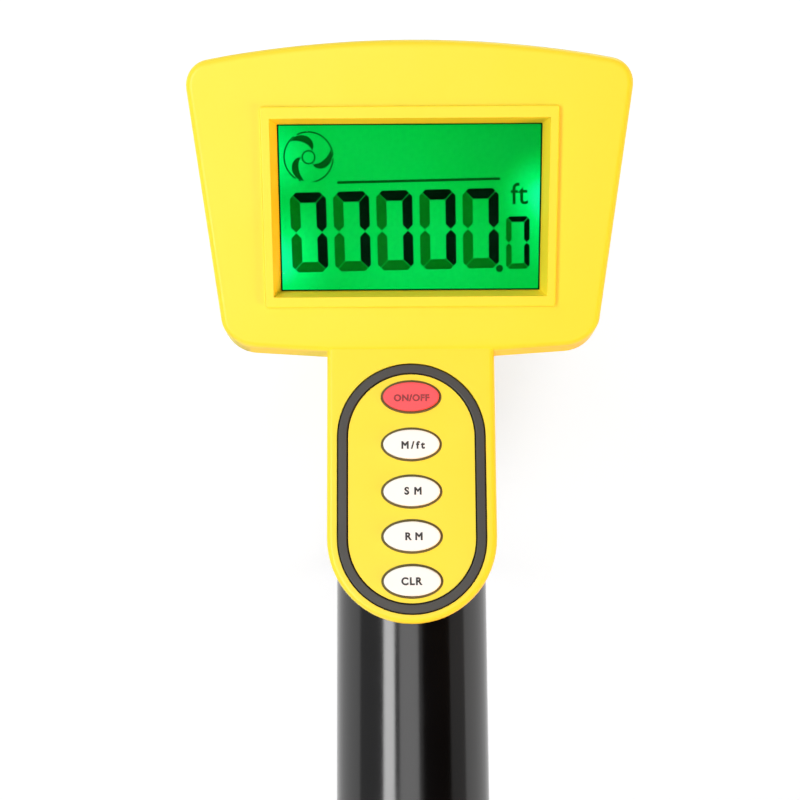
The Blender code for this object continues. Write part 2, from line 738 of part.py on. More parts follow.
def make_counter():
    near = -HUB_HALF_WIDTH - FIT_GAP
    far = near - MAGNET_RING_THICKNESS
    inner, outer = MAGNET_RING_INNER, MAGNET_RING_OUTER
    ring("magnet_ring", inner, outer, far, near, WHEEL, BLACK_PLASTIC, steps=POLE_STEPS)
    back = -LEG_INNER_FACE + FIT_GAP
    sensor = box(
        "sensor_housing",
        (back, -SENSOR_HALF_WIDTH, SENSOR_LOW),
        (back + SENSOR_THICKNESS, SENSOR_HALF_WIDTH, SENSOR_HIGH),
        POLE,
        BLACK_PLASTIC,
    )
    centre = (0, SENSOR_SCREW_HEIGHT)
    tip = back + SENSOR_SCREW_REACH
    radius = SENSOR_SCREW_RADIUS
    low, high = back - CUT_OVERLAP, tip + HOLE_GAP
    cutter = cylinder("sensor_cutter", radius + HOLE_GAP, low, high, POLE, axis=ALONG_X, centre=centre)
    cut(sensor, cutter)
    seat = -LEG_INNER_FACE - LEG_THICKNESS - FIT_GAP
    screw_x("sensor_screw", (seat, tip), -1, radius, SENSOR_SCREW_HEAD_RADIUS, SENSOR_SCREW_HEAD, centre)


def screw_x(name, ends, side, radius, head_radius, head, centre, steps=SCREW_STEPS):
    """A screw along X: its head stands on the first end towards a side, its shank runs to the other."""
    seat, tip = ends
    top = seat + side * head
    screw = cylinder(name, head_radius, seat, top, POLE, STEEL, axis=ALONG_X, centre=centre, steps=steps)
    inside = seat + side * head / 2
    shank = cylinder(name + "_shank", radius, inside, tip, POLE, axis=ALONG_X, centre=centre)
    return join(screw, shank)


# Fork


def make_fork_legs():
    strip = hull(circle(LEG_HALF_WIDTH), circle(LEG_HALF_WIDTH, SMALL_STEPS, (0, LEG_TOP)))
    lug = hull(
        circle(STAND_EYE_RADIUS, SMALL_STEPS, PIVOT),
        circle(STAND_EYE_RADIUS, SMALL_STEPS, (0, STAND_PIVOT_HEIGHT + STAND_PIVOT_BACK)),
        circle(STAND_EYE_RADIUS, SMALL_STEPS, (0, STAND_PIVOT_HEIGHT - STAND_PIVOT_BACK)),
    )
    for side, word in ((-1, "left"), (1, "right")):
        inner = side * LEG_INNER_FACE
        outer = inner + side * LEG_THICKNESS
        leg = slab(f"fork_leg_{word}", [strip], inner, outer, POLE, DARK_STEEL, axis=ALONG_X)
        join(leg, slab(f"lug_{word}", [lug], inner, outer, POLE, axis=ALONG_X))
        cut(leg, hole_x(f"axle_cutter_{word}", AXLE_RADIUS, inner, outer, POLE))
        cut(leg, hole_x(f"pivot_cutter_{word}", STAND_PIN_RADIUS, inner, outer, POLE, PIVOT))
        cut(leg, hole_x(f"bolt_cutter_{word}", CROWN_BOLT_RADIUS, inner, outer, POLE, CROWN_BOLT))
        if side < 0:
            centre = (0, SENSOR_SCREW_HEIGHT)
            cut(leg, hole_x("screw_cutter", SENSOR_SCREW_RADIUS, inner, outer, POLE, centre))


def make_crown():
    side = LEG_INNER_FACE - FIT_GAP
    crown = box(
        "fork_crown",
        (-side, -CROWN_HALF_DEPTH, CROWN_BOTTOM),
        (side, CROWN_HALF_DEPTH, CROWN_BLOCK_TOP),
        POLE,
        BLACK_PLASTIC,
    )
    join(crown, cylinder("crown_boss", CROWN_BOSS_RADIUS, CROWN_FLOOR, CROWN_TOP, POLE, steps=POLE_STEPS))
    top = CROWN_TOP + CUT_OVERLAP
    socket = LOWER_POLE_RADIUS + FIT_GAP
    cut(crown, cylinder("socket_cutter", socket, CROWN_FLOOR, top, POLE, steps=POLE_STEPS))
    cut(crown, hole_x("crown_cutter", CROWN_BOLT_RADIUS, -side, side, POLE, CROWN_BOLT))
    seat = LEG_INNER_FACE + LEG_THICKNESS + FIT_GAP
    radius, head_radius, head = CROWN_BOLT_RADIUS, CROWN_BOLT_HEAD_RADIUS, CROWN_BOLT_HEAD
    for sign, word in ((-1, "left"), (1, "right")):
        ends = (sign * seat, sign * CROWN_BOLT_REACH)
        screw_x(f"crown_bolt_{word}", ends, sign, radius, head_radius, head, CROWN_BOLT, HEX_STEPS)


def make_pointer():
    low = LEG_INNER_FACE + LEG_THICKNESS + FIT_GAP
    high = low + POINTER_THICKNESS
    outline = hull(
        circle(POINTER_EYE_RADIUS),
        circle(POINTER_NECK_RADIUS, SCREW_STEPS, (0, -POINTER_NECK_DROP)),
        circle(POINTER_TIP_RADIUS, HEX_STEPS, (0, POINTER_TIP_HEIGHT - TYRE_RADIUS)),
    )
    hole = circle(AXLE_RADIUS + HOLE_GAP)
    slab("start_pointer", [outline, hole], low, high, WHEEL, POINTER_RED, axis=ALONG_X)


# Stand


def bar(name, start, end, half_thickness, half_width):
    """A flat bar between two points, thin in X."""
    along = end - start
    up = along.normalized()
    wide = up.cross(Vector((1, 0, 0))).normalized()
    thin = wide.cross(up)
    turn = Matrix((thin, wide, up)).transposed().to_4x4()
    size = Matrix.Diagonal((2 * half_thickness, 2 * half_width, along.length, 1))
    shape = bmesh.new()
    matrix = Matrix.Translation((start + end) / 2) @ turn @ size
    bmesh.ops.create_cube(shape, size=1, matrix=matrix)
    bmesh.ops.recalc_face_normals(shape, faces=shape.faces)
    return add_object(name, mesh_of(name, shape), GROUND, None)


def stand_ends(side):
    """Where a stand leg's bar starts in its eye and ends in its foot."""
    out = side * (LEG_INNER_FACE + LEG_THICKNESS + RUN_GAP + STAND_LEG_THICKNESS / 2)
    end = Vector((side * STAND_FOOT_SIDE, -STAND_FOOT_BACK, STAND_LEG_END_HEIGHT))
    start = (POLE @ Vector((0, *PIVOT))).lerp(end, STAND_ROOT_SHARE)
    return Vector((out, start.y, start.z)), end


def make_stand():
    pivot = POLE @ Vector((0, *PIVOT))
    origin = (0, pivot.y, pivot.z)
    centre = (pivot.y, pivot.z)
    half = STAND_LEG_THICKNESS / 2
    eye, wide = STAND_EYE_RADIUS, STAND_LEG_HALF_WIDTH
    for side, word in ((-1, "left"), (1, "right")):
        start, end = stand_ends(side)
        low, high = start.x - half, start.x + half
        name = f"stand_leg_{word}"
        leg = cylinder(name, eye, low, high, GROUND, DARK_STEEL, axis=ALONG_X, centre=centre, origin=origin)
        join(leg, bar(f"stand_bar_{word}", start, end, half, wide))
        cut(leg, hole_x(f"eye_cutter_{word}", STAND_PIN_RADIUS, low, high, GROUND, centre))
        make_foot(word, start, end, origin)
        seat = side * (LEG_INNER_FACE + LEG_THICKNESS + STAND_LEG_THICKNESS + 2 * RUN_GAP)
        ends = (seat, side * LEG_INNER_FACE)
        screw_x(
            f"stand_pivot_{word}", ends, side, STAND_PIN_RADIUS, STAND_PIN_HEAD_RADIUS, STAND_PIN_HEAD, PIVOT
        )
    joint = start.lerp(end, STAND_BAR_SHARE)
    reach = joint.x - half - STAND_BAR_CLEARANCE
    centre = (joint.y, joint.z)
    cylinder(
        "stand_crossbar",
        STAND_BAR_RADIUS,
        -reach,
        reach,
        GROUND,
        DARK_STEEL,
        axis=ALONG_X,
        centre=centre,
        origin=origin,
    )


def make_foot(word, start, end, origin):
    name = f"stand_foot_{word}"
    foot = cylinder(
        name, STAND_FOOT_RADIUS, 0, STAND_FOOT_TOP, GROUND, BLACK_RUBBER, centre=end.xy, origin=origin
    )
    beyond = end + (end - start).normalized() * FIT_GAP
    half, wide = STAND_LEG_THICKNESS / 2 + FIT_GAP, STAND_LEG_HALF_WIDTH + FIT_GAP
    cut(foot, bar(f"foot_cutter_{word}", start, beyond, half, wide))


# Pole and clamp


def make_poles():
    outer, low = LOWER_POLE_RADIUS, CROWN_FLOOR + FIT_GAP
    ring("lower_pole", outer - POLE_WALL, outer, low, LOWER_POLE_TOP, POLE, BLACK_GLOSS, ALONG_Z, POLE_STEPS)
    outer, low = UPPER_POLE_RADIUS, UPPER_POLE_BOTTOM
    upper = ring(
        "upper_pole", outer - POLE_WALL, outer, low, UPPER_POLE_TOP, POLE, ALUMINIUM, ALONG_Z, POLE_STEPS
    )
    cut(upper, handle_screw_hole("upper_screw_cutter"))


def make_collar():
    bore, seat = UPPER_POLE_RADIUS + RUN_GAP, LOWER_POLE_RADIUS + FIT_GAP
    ledge = LOWER_POLE_TOP + FIT_GAP
    profile = [
        (seat, COLLAR_BOTTOM),
        (COLLAR_RADIUS, COLLAR_BOTTOM),
        (COLLAR_RADIUS, COLLAR_TOP),
        (bore, COLLAR_TOP),
        (bore, ledge),
        (seat, ledge),
    ]
    collar = turned("clamp_collar", profile, POLE, BLACK_PLASTIC)
    root = (COLLAR_RADIUS + seat) / 2
    wide = LUG_HALF_WIDTH
    join(collar, box("lug", (root, -wide, COLLAR_BOTTOM), (LUG_REACH, wide, COLLAR_TOP), POLE))
    low, high = LEVER_LOW - RUN_GAP, LEVER_HIGH + RUN_GAP
    wide, reach = LUG_HALF_WIDTH + CUT_OVERLAP, LUG_REACH + CUT_OVERLAP
    cut(collar, box("slot_cutter", (LUG_SLOT_START, -wide, low), (reach, wide, high), POLE))
    low, high = COLLAR_BOTTOM - CUT_OVERLAP, COLLAR_TOP + CUT_OVERLAP
    cut(collar, cylinder("pin_cutter", CLAMP_PIN_RADIUS + HOLE_GAP, low, high, POLE, centre=CLAMP_PIN))
    low, high = PAD_LOW, PAD_HIGH
    wide, start = PAD_HALF_WIDTH + FIT_GAP, UPPER_POLE_RADIUS - CUT_OVERLAP
    window = ((start, -wide, low - FIT_GAP), (COLLAR_RADIUS + CUT_OVERLAP, wide, high + FIT_GAP))
    cut(collar, box("pad_cutter", *window, POLE))
    wide = PAD_HALF_WIDTH
    box("clamp_pad", (bore, -wide, low), (PAD_OUTER_FACE, wide, high), POLE, BRASS)
    low, high = COLLAR_BOTTOM - CLAMP_PIN_OVERHANG, COLLAR_TOP + CLAMP_PIN_OVERHANG
    cylinder("clamp_pin", CLAMP_PIN_RADIUS, low, high, POLE, STEEL, centre=CLAMP_PIN)


def make_lever():
    inner, outer = [], []
    for step in range(LEVER_STEPS + 1):
        turn = math.radians(LEVER_START_DEG + (LEVER_END_DEG - LEVER_START_DEG) * step / LEVER_STEPS)
        for row, radius in ((inner, LEVER_INNER_RADIUS), (outer, LEVER_INNER_RADIUS + LEVER_THICKNESS)):
            row.append((radius * math.cos(turn), radius * math.sin(turn)))
    origin = (*CLAMP_PIN, (LEVER_LOW + LEVER_HIGH) / 2)
    arm = [outer + inner[::-1]]
    lever = slab("clamp_lever", arm, LEVER_LOW, LEVER_HIGH, POLE, BLACK_PLASTIC, origin=origin)
    join(lever, cylinder("lever_boss", LEVER_BOSS_RADIUS, LEVER_LOW, LEVER_HIGH, POLE, centre=CLAMP_PIN))
    low, high = LEVER_LOW - CUT_OVERLAP, LEVER_HIGH + CUT_OVERLAP
    cut(lever, cylinder("lever_cutter", CLAMP_PIN_RADIUS + RUN_GAP, low, high, POLE, centre=CLAMP_PIN))


# Handle


def tube_route(longer=0.0):
    """The handle tube's centre line: up the pole, round the bend and back along the grip."""
    start = ELBOW_HEIGHT - BEND_RADIUS * math.tan(math.radians(GRIP_BEND_DEG / 2))
    route = [(0, 0, TUBE_BOTTOM - longer)]
    for step in range(BEND_STEPS + 1):
        turn = math.radians(GRIP_BEND_DEG * step / BEND_STEPS)
        route.append((0, BEND_RADIUS * (math.cos(turn) - 1), start + BEND_RADIUS * math.sin(turn)))
    turn = math.radians(GRIP_BEND_DEG)
    end = GRIP_LENGTH + longer
    route.append((0, -end * math.sin(turn), ELBOW_HEIGHT + end * math.cos(turn)))
    return route


def tube_cutter(name):
    return pipe(name, tube_route(CUT_OVERLAP), TUBE_RADIUS + FIT_GAP, POLE)


def handle_screw_hole(name):
    low, high = UPPER_POLE_RADIUS / 2, TUBE_RADIUS + CUT_OVERLAP
    radius = HANDLE_SCREW_RADIUS + HOLE_GAP
    return cylinder(name, radius, low, high, POLE, axis=ALONG_X, centre=(0, HANDLE_SCREW_HEIGHT))


def make_handle():
    tube = pipe("handle_tube", tube_route(), TUBE_RADIUS, POLE, BLACK_GLOSS)
    cut(tube, pipe("bore_cutter", tube_route(CUT_OVERLAP), TUBE_RADIUS - TUBE_WALL, POLE))
    cut(tube, handle_screw_hole("handle_screw_cutter"))
    ends = (TUBE_RADIUS + FIT_GAP, TUBE_RADIUS - HANDLE_SCREW_REACH)
    radius, head_radius, head = HANDLE_SCREW_RADIUS, HANDLE_SCREW_HEAD_RADIUS, HANDLE_SCREW_HEAD
    screw_x("handle_screw", ends, 1, radius, head_radius, head, (0, HANDLE_SCREW_HEIGHT))


def make_end_cap():
    plug = TUBE_RADIUS - TUBE_WALL - FIT_GAP
    seat = GRIP_LENGTH + FIT_GAP
    cap = cylinder(
        "grip_end_cap", TUBE_RADIUS, seat, seat + CAP_FLANGE, GRIP, BLACK_RUBBER, steps=POLE_STEPS
    )
    bevel(cap, CAP_ROUNDING)
    start, end = GRIP_LENGTH - CAP_PLUG, seat + CAP_FLANGE / 2
    join(cap, cylinder("cap_plug", plug, start, end, GRIP, steps=POLE_STEPS))


# Display head


def housing_outline(smaller=0.0):
    """The display housing from the front: nearly straight below, wider and arched above."""
    rise = HOUSING_TOP - HOUSING_TOP_DROP
    low, high = HOUSING_HALF_WIDTH_LOW - smaller, HOUSING_HALF_WIDTH_HIGH - smaller
    corners = [
        (-low, smaller, HOUSING_LOW_CORNER),
        (-TONGUE_HALF_WIDTH, smaller - HOUSING_LOW_DROP, 0),
        (TONGUE_HALF_WIDTH, smaller - HOUSING_LOW_DROP, 0),
        (low, smaller, HOUSING_LOW_CORNER),
        (high, rise - smaller, HOUSING_HIGH_CORNER),
    ]
    for step in range(1, HOUSING_TOP_STEPS):
        across = 1 - 2 * step / HOUSING_TOP_STEPS
        corners.append((across * high, HOUSING_TOP - smaller - HOUSING_TOP_DROP * across**2, 0))
    corners.append((-high, rise - smaller, HOUSING_HIGH_CORNER))
    return rounded(corners)


def make_face_shell():
    deep = -FACE_SHELL_DEPTH - CUT_OVERLAP
    side, far, low = 2 * HOUSING_HALF_WIDTH_HIGH, 2 * HOUSING_TOP, -2 * FACE_SHELL_DEPTH
    shell = slab("face_shell", [housing_outline()], deep, 0, DISPLAY, YELLOW_PLASTIC)
    bevel(shell, FACE_EDGE_ROUNDING)
    cut(shell, box("face_trim_cutter", (-side, -far, low), (side, far, -FACE_SHELL_DEPTH), DISPLAY))
    outline = tongue_shape(TONGUE_HALF_WIDTH, -TONGUE_LENGTH, TONGUE_OVERLAP)
    deep = -TONGUE_FACE_DEPTH - CUT_OVERLAP
    tongue = bevel(slab("tongue_block", [outline], deep, 0, TONGUE), TONGUE_EDGE_ROUNDING)
    cut(tongue, box("tongue_trim_cutter", (-side, -far, low), (side, far, -TONGUE_FACE_DEPTH), TONGUE))
    join(shell, tongue)
    outline = rectangle(BEZEL_HALF_WIDTH, BEZEL_LOW, BEZEL_HIGH, BEZEL_CORNER)
    join(shell, bevel(slab("bezel_block", [outline], -BEZEL_RISE, BEZEL_RISE, DISPLAY), BEZEL_ROUNDING))
    for name, outline in face_cavities():
        cut(shell, slab(name, [outline], low, -FACE_WALL, DISPLAY))
    cut(shell, recess_cutter())
    opening = rectangle(OPENING_HALF_WIDTH, OPENING_LOW, OPENING_HIGH)
    cut(shell, slab("opening_cutter", [opening], -FACE_WALL - CUT_OVERLAP, CUT_OVERLAP, DISPLAY))
    cut(shell, *tongue_cutters())
    radius, high = CASE_SCREW_RADIUS + HOLE_GAP, HOLE_GAP - CASE_SCREW_TIP
    for index, centre in enumerate(case_screw_places()):
        more = {"centre": centre, "steps": SCREW_STEPS}
        cut(shell, cylinder(f"face_hole_{index}", radius, low, high, DISPLAY, **more))


def recess_cutter():
    """A cutter whose walls slope in to the display opening."""
    low_outline = rectangle(OPENING_HALF_WIDTH, OPENING_LOW, OPENING_HIGH)
    high_outline = rectangle(RECESS_HALF_WIDTH, RECESS_LOW, RECESS_HIGH)
    return loft("recess_cutter", low_outline, -RECESS_DEPTH, high_outline, BEZEL_RISE + FIT_GAP, DISPLAY)


def face_cavities():
    return (
        ("face_long_cutter", rectangle(CAVITY_LONG_HALF_WIDTH, CAVITY_LONG_LOW, CAVITY_LONG_HIGH)),
        ("face_wide_cutter", rectangle(CAVITY_WIDE_HALF_WIDTH, CAVITY_WIDE_LOW, CAVITY_WIDE_HIGH)),
    )


def key_outline(index, grow=0.0):
    centre = (0, -KEY_ROW_CENTRES[index])
    return ellipse(KEY_HALF_WIDTH + grow, KEY_HALF_HEIGHT + grow, centre)


def tongue_cutters():
    low = -TONGUE_FACE_DEPTH - CUT_OVERLAP
    half = TONGUE_HALF_WIDTH - TONGUE_CAVITY_INSET
    cavity = tongue_shape(half, TONGUE_CAVITY_INSET - TONGUE_LENGTH, -TONGUE_CAVITY_HIGH)
    cutters = [slab("keypad_cavity_cutter", [cavity], low, -TONGUE_WALL, TONGUE)]
    cutters.append(slab("groove_cutter", ring_outlines(FIT_GAP), -RING_SINK - FIT_GAP, CUT_OVERLAP, TONGUE))
    for index in range(len(KEY_NAMES)):
        cutters.append(slab(f"key_cutter_{index}", [key_outline(index, KEY_GAP)], low, CUT_OVERLAP, TONGUE))
    return cutters


def ring_outlines(grow=0.0):
    """The outer and inner edges of the stadium ring round the keys."""
    shrink = RING_WIDTH + grow
    return [
        stadium(RING_HALF_WIDTH + grow, -RING_LOW - grow, grow - RING_HIGH),
        stadium(RING_HALF_WIDTH - shrink, shrink - RING_LOW, -RING_HIGH - shrink),
    ]


def make_keypad():
    slab("keypad_ring", ring_outlines(), -RING_SINK, RING_RISE, TONGUE, GREY_PLASTIC)
    for index, name in enumerate(KEY_NAMES):
        look = WHITE_RUBBER if index else RED_RUBBER
        origin = (0, -KEY_ROW_CENTRES[index], 0)
        key = slab(name, [key_outline(index)], -KEY_SINK, KEY_RISE, TONGUE, look, origin=origin)
        bevel(key, KEY_ROUNDING)
    shrink = TONGUE_CAVITY_INSET + FIT_GAP
    half = TONGUE_HALF_WIDTH - shrink
    outline = tongue_shape(half, shrink - TONGUE_LENGTH, -TONGUE_CAVITY_HIGH - FIT_GAP)
    top = -KEY_SINK - KEY_TRAVEL - FIT_GAP
    slab("keypad_mat", [outline], top - MAT_THICKNESS, top, TONGUE, BLACK_RUBBER)
    high = top - MAT_THICKNESS - FIT_GAP
    slab("keypad_board", [outline], high - KEY_BOARD_THICKNESS, high, TONGUE, BOARD_GREEN)


def make_tongue_base():
    half = TONGUE_HALF_WIDTH - TONGUE_BASE_INSET
    outline = tongue_shape(half, TONGUE_BASE_INSET - TONGUE_LENGTH, TONGUE_OVERLAP)
    high = -TONGUE_FACE_DEPTH - FIT_GAP
    base = slab("tongue_base", [outline], -TONGUE_BASE_BOTTOM, high, TONGUE, BLACK_PLASTIC)
    cut(base, tube_cutter("base_tube_cutter"))
    housing = [housing_outline(-FIT_GAP)]
    cut(base, slab("base_housing_cutter", housing, -2 * BACK_SHELL_DEPTH, CUT_OVERLAP, DISPLAY))


def make_back_shell():
    outline = housing_outline()
    shell = slab("back_shell", [outline], -BACK_SHELL_DEPTH, 0, DISPLAY, YELLOW_PLASTIC)
    bevel(shell, BACK_ROUNDING, BACK_SEGMENTS)
    side, far, seam = 2 * HOUSING_HALF_WIDTH_HIGH, 2 * HOUSING_TOP, -FACE_SHELL_DEPTH - FIT_GAP
    cut(shell, box("back_trim_cutter", (-side, -far, seam), (side, far, CUT_OVERLAP), DISPLAY))
    floor = BACK_FLOOR - BACK_SHELL_DEPTH
    outlines = (
        ("back_long_cutter", rectangle(CAVITY_LONG_HALF_WIDTH, CAVITY_BACK_LOW, CAVITY_LONG_HIGH)),
        ("back_wide_cutter", rectangle(CAVITY_WIDE_HALF_WIDTH, CAVITY_WIDE_LOW, CAVITY_WIDE_HIGH)),
    )
    for name, outline in outlines:
        cut(shell, slab(name, [outline], floor, 0, DISPLAY))
    low = -BACK_SHELL_DEPTH - CUT_OVERLAP
    cut(shell, slab("bay_cutter", [rectangle(BAY_HALF_WIDTH, BAY_LOW, BAY_HIGH)], low, 0, DISPLAY))
    cut(shell, cover_shape("cover_cutter", FIT_GAP, HOUSING_TOP + CUT_OVERLAP, CUT_OVERLAP))
    cut(shell, tube_cutter("back_tube_cutter"))
    seat = CASE_SCREW_SINK - BACK_SHELL_DEPTH
    for index, centre in enumerate(case_screw_places()):
        more = {"centre": centre, "steps": SCREW_STEPS}
        hole, sink = CASE_SCREW_RADIUS + HOLE_GAP, CASE_SCREW_HEAD_RADIUS + HOLE_GAP
        cut(shell, cylinder(f"back_hole_{index}", hole, low, 0, DISPLAY, **more))
        cut(shell, cylinder(f"back_sink_{index}", sink, low, seat, DISPLAY, **more))
        top = seat - FIT_GAP
        name, bottom = f"case_screw_{index + 1}", top - CASE_SCREW_HEAD
        screw = cylinder(name, CASE_SCREW_HEAD_RADIUS, bottom, top, DISPLAY, STEEL, **more)
        bottom = top - CASE_SCREW_HEAD / 2
        join(screw, cylinder(name + "_shank", CASE_SCREW_RADIUS, bottom, -CASE_SCREW_TIP, DISPLAY, **more))


def case_screw_places():
    return (
        (-CASE_SCREW_LOW_SIDE, CASE_SCREW_LOW),
        (CASE_SCREW_LOW_SIDE, CASE_SCREW_LOW),
        (CASE_SCREW_HIGH_SIDE, CASE_SCREW_HIGH),
        (-CASE_SCREW_HIGH_SIDE, CASE_SCREW_HIGH),
    )


def cover_shape(name, grow, end, deeper=0.0, look=None):
    """The battery cover, a dovetail that is wider inside than outside. Its cutter is the same, grown."""
    slope = COVER_DOVETAIL / COVER_THICKNESS
    low, high = -BACK_SHELL_DEPTH - deeper, -BACK_SHELL_DEPTH + COVER_THICKNESS + grow
    wide = COVER_HALF_WIDTH + grow
    narrow = wide - slope * (high - low)
    section = [(-narrow, low), (narrow, low), (wide, high), (-wide, high)]
    start = COVER_LOW - grow
    return slab(name, [section], -end, -start, DISPLAY, look, axis=ALONG_Y, origin=COVER_ORIGIN)


def make_battery_cover():
    cover = cover_shape("battery_cover", 0, COVER_HIGH, look=BLACK_PLASTIC)
    low = -BACK_SHELL_DEPTH
    groove = rectangle(COVER_GRIP_HALF_WIDTH, COVER_GRIP_LOW, COVER_GRIP_HIGH)
    cut(cover, slab("grip_cutter", [groove], low - CUT_OVERLAP, low + COVER_GRIP_DEPTH, DISPLAY))


def make_electronics():
    pane = rectangle(OPENING_HALF_WIDTH - FIT_GAP, OPENING_LOW + FIT_GAP, OPENING_HIGH - FIT_GAP)
    slab("display_window", [pane], -PANE_DEPTH - PANE_THICKNESS, -PANE_DEPTH, DISPLAY, CLEAR)
    top = -FACE_WALL - FIT_GAP
    layers = (
        ("display_panel", PANEL_HIGH, PANEL_THICKNESS, DISPLAY_GREEN),
        ("main_board", BOARD_HIGH, BOARD_THICKNESS, BOARD_GREEN),
    )
    for name, far, thickness, look in layers:
        outline = rectangle(PANEL_HALF_WIDTH, PANEL_LOW, far)
        slab(name, [outline], top - thickness, top, DISPLAY, look)
        top -= thickness + FIT_GAP


def make_batteries():
    for index in range(CELL_COUNT):
        side = 1 if index % 2 else -1
        centre = (CELL_FIRST + CELL_PITCH * index, -CELL_DEPTH)
        low, high = -side * CELL_HALF_LENGTH, side * (CELL_HALF_LENGTH - CELL_NUB)
        more = {"axis": ALONG_X, "centre": centre}
        cell = cylinder(f"battery_{index + 1}", CELL_RADIUS, low, high, DISPLAY, CELL_BLUE, **more)
        join(cell, cylinder(f"nub_{index}", CELL_NUB_RADIUS, 0, side * CELL_HALF_LENGTH, DISPLAY, **more))
    near = CELL_HALF_LENGTH + FIT_GAP
    far = near + CONTACT_THICKNESS
    low, high = BACK_FLOOR - BACK_SHELL_DEPTH + FIT_GAP, CONTACT_HEIGHT - CELL_DEPTH
    box("battery_contact_left", (-far, CELL_ROW_LOW, low), (-near, CELL_ROW_HIGH, high), DISPLAY, STEEL)
    box("battery_contact_right", (near, CELL_ROW_LOW, low), (far, CELL_ROW_HIGH, high), DISPLAY, STEEL)


make_tyre()
make_wheel_disc()
make_bearings()
make_axle()
make_counter()
make_fork_legs()
make_crown()
make_pointer()
make_stand()
make_poles()
make_collar()
make_lever()
make_handle()
make_end_cap()
make_face_shell()
make_back_shell()
make_battery_cover()
make_electronics()
make_batteries()
make_keypad()
make_tongue_base()
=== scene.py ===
"""Looks of the measuring wheel: finer moulded pieces, finishes, display marks, lamps and camera.

Lengths are metres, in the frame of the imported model: +X is the axle, +Y is forward, +Z is up.
"""

import json
from math import cos, pi, radians, sin, tan

import bmesh
import bpy
from mathutils import Matrix, Vector
from mathutils.geometry import convex_hull_2d

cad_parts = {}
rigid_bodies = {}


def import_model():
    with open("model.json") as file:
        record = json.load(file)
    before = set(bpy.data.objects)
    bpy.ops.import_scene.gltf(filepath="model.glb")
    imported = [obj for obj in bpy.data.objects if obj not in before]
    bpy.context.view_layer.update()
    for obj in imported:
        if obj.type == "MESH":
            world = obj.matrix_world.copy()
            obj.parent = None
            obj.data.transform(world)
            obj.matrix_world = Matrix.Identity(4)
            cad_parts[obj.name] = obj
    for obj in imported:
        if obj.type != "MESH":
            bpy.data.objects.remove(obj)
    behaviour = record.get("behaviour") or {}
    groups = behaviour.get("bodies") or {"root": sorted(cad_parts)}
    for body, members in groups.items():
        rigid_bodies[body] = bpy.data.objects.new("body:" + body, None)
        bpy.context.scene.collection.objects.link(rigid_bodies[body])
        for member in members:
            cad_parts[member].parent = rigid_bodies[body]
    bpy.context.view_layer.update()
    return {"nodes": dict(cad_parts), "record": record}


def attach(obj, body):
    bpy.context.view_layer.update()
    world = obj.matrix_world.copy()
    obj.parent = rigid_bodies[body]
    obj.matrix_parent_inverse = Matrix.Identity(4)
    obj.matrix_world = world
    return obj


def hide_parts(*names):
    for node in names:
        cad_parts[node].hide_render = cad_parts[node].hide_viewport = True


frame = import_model()
NODES = frame["nodes"]
RECORD = frame["record"]
BODY_OF = {node: body for body, nodes in RECORD["behaviour"]["bodies"].items() for node in nodes}
NODE_SLOT = {row["node"]: row["material_slot"] for row in RECORD["subparts"]}

# How the tool stands and bends
POLE_LEAN_DEG = 15.0
GRIP_BEND_DEG = 76.0
DISPLAY_TILT_DEG = 22.0
WHEEL_RADIUS = 0.15915
ELBOW_HEIGHT = 0.800
BEND_RADIUS = 0.045
CREASE_ALONG_GRIP = 0.012
FACE_ABOVE_GRIP_AXIS = 0.0265

# Fits
FIT_GAP = 0.0003
CUT_OVERLAP = 0.004
WELD_DISTANCE = 0.000005

# Facets
ROUND_STEPS = 64
WHEEL_STEPS = 144
KEY_STEPS = 56
CORNER_STEPS = 10
SMALL_CORNER_STEPS = 5
RING_EDGE_STEPS = 4
SMALL_ROUND_STEPS = 32
EDGE_STEPS = 4
BEND_STEPS = 32
PIPE_RESOLUTION = 22
SMOOTH_DEG = 38.0

# Display head, as in the CAD model
HOUSING_HALF_WIDTH_LOW = 0.0410
HOUSING_HALF_WIDTH_HIGH = 0.0479
HOUSING_TOP = 0.0664
HOUSING_TOP_DROP = 0.0047
HOUSING_TOP_STEPS = 24
HOUSING_ARCH_SHARE = 0.8
HOUSING_LOW_DROP = 0.0015
HOUSING_LOW_CORNER = 0.008
HOUSING_HIGH_CORNER = 0.0055
FACE_SHELL_DEPTH = 0.012
FACE_EDGE_ROUNDING = 0.0016
BACK_SHELL_DEPTH = 0.028
BACK_ROUNDING = 0.005
BACK_FLOOR = 0.0038
FACE_WALL = 0.0035
CAVITIES = ((0.029, 0.003, 0.0625), (0.0375, 0.014, 0.050))
BACK_CAVITIES = ((0.029, 0.010, 0.0625), (0.0375, 0.014, 0.050))
BEZEL = (0.0317, 0.0099, 0.0529)
BEZEL_CORNER = 0.0006
BEZEL_RISE = 0.0012
BEZEL_ROUNDING = 0.0004
RECESS = (0.0299, 0.0122, 0.0505)
RECESS_DEPTH = 0.0022
OPENING = (0.0284, 0.0132, 0.0491)
BAY = (0.0225, 0.0205, 0.0570)
BAY_CORNER = 0.001
COVER_HALF_WIDTH = 0.0285
COVER_LOW = 0.0180
COVER_THICKNESS = 0.0018
COVER_DOVETAIL = 0.0010
CASE_SCREWS = ((-0.0345, 0.0080), (0.0345, 0.0080), (0.0380, 0.0560), (-0.0380, 0.0560))
CASE_SCREW_SINK = 0.0090
CASE_SCREW_SINK_RADIUS = 0.0028

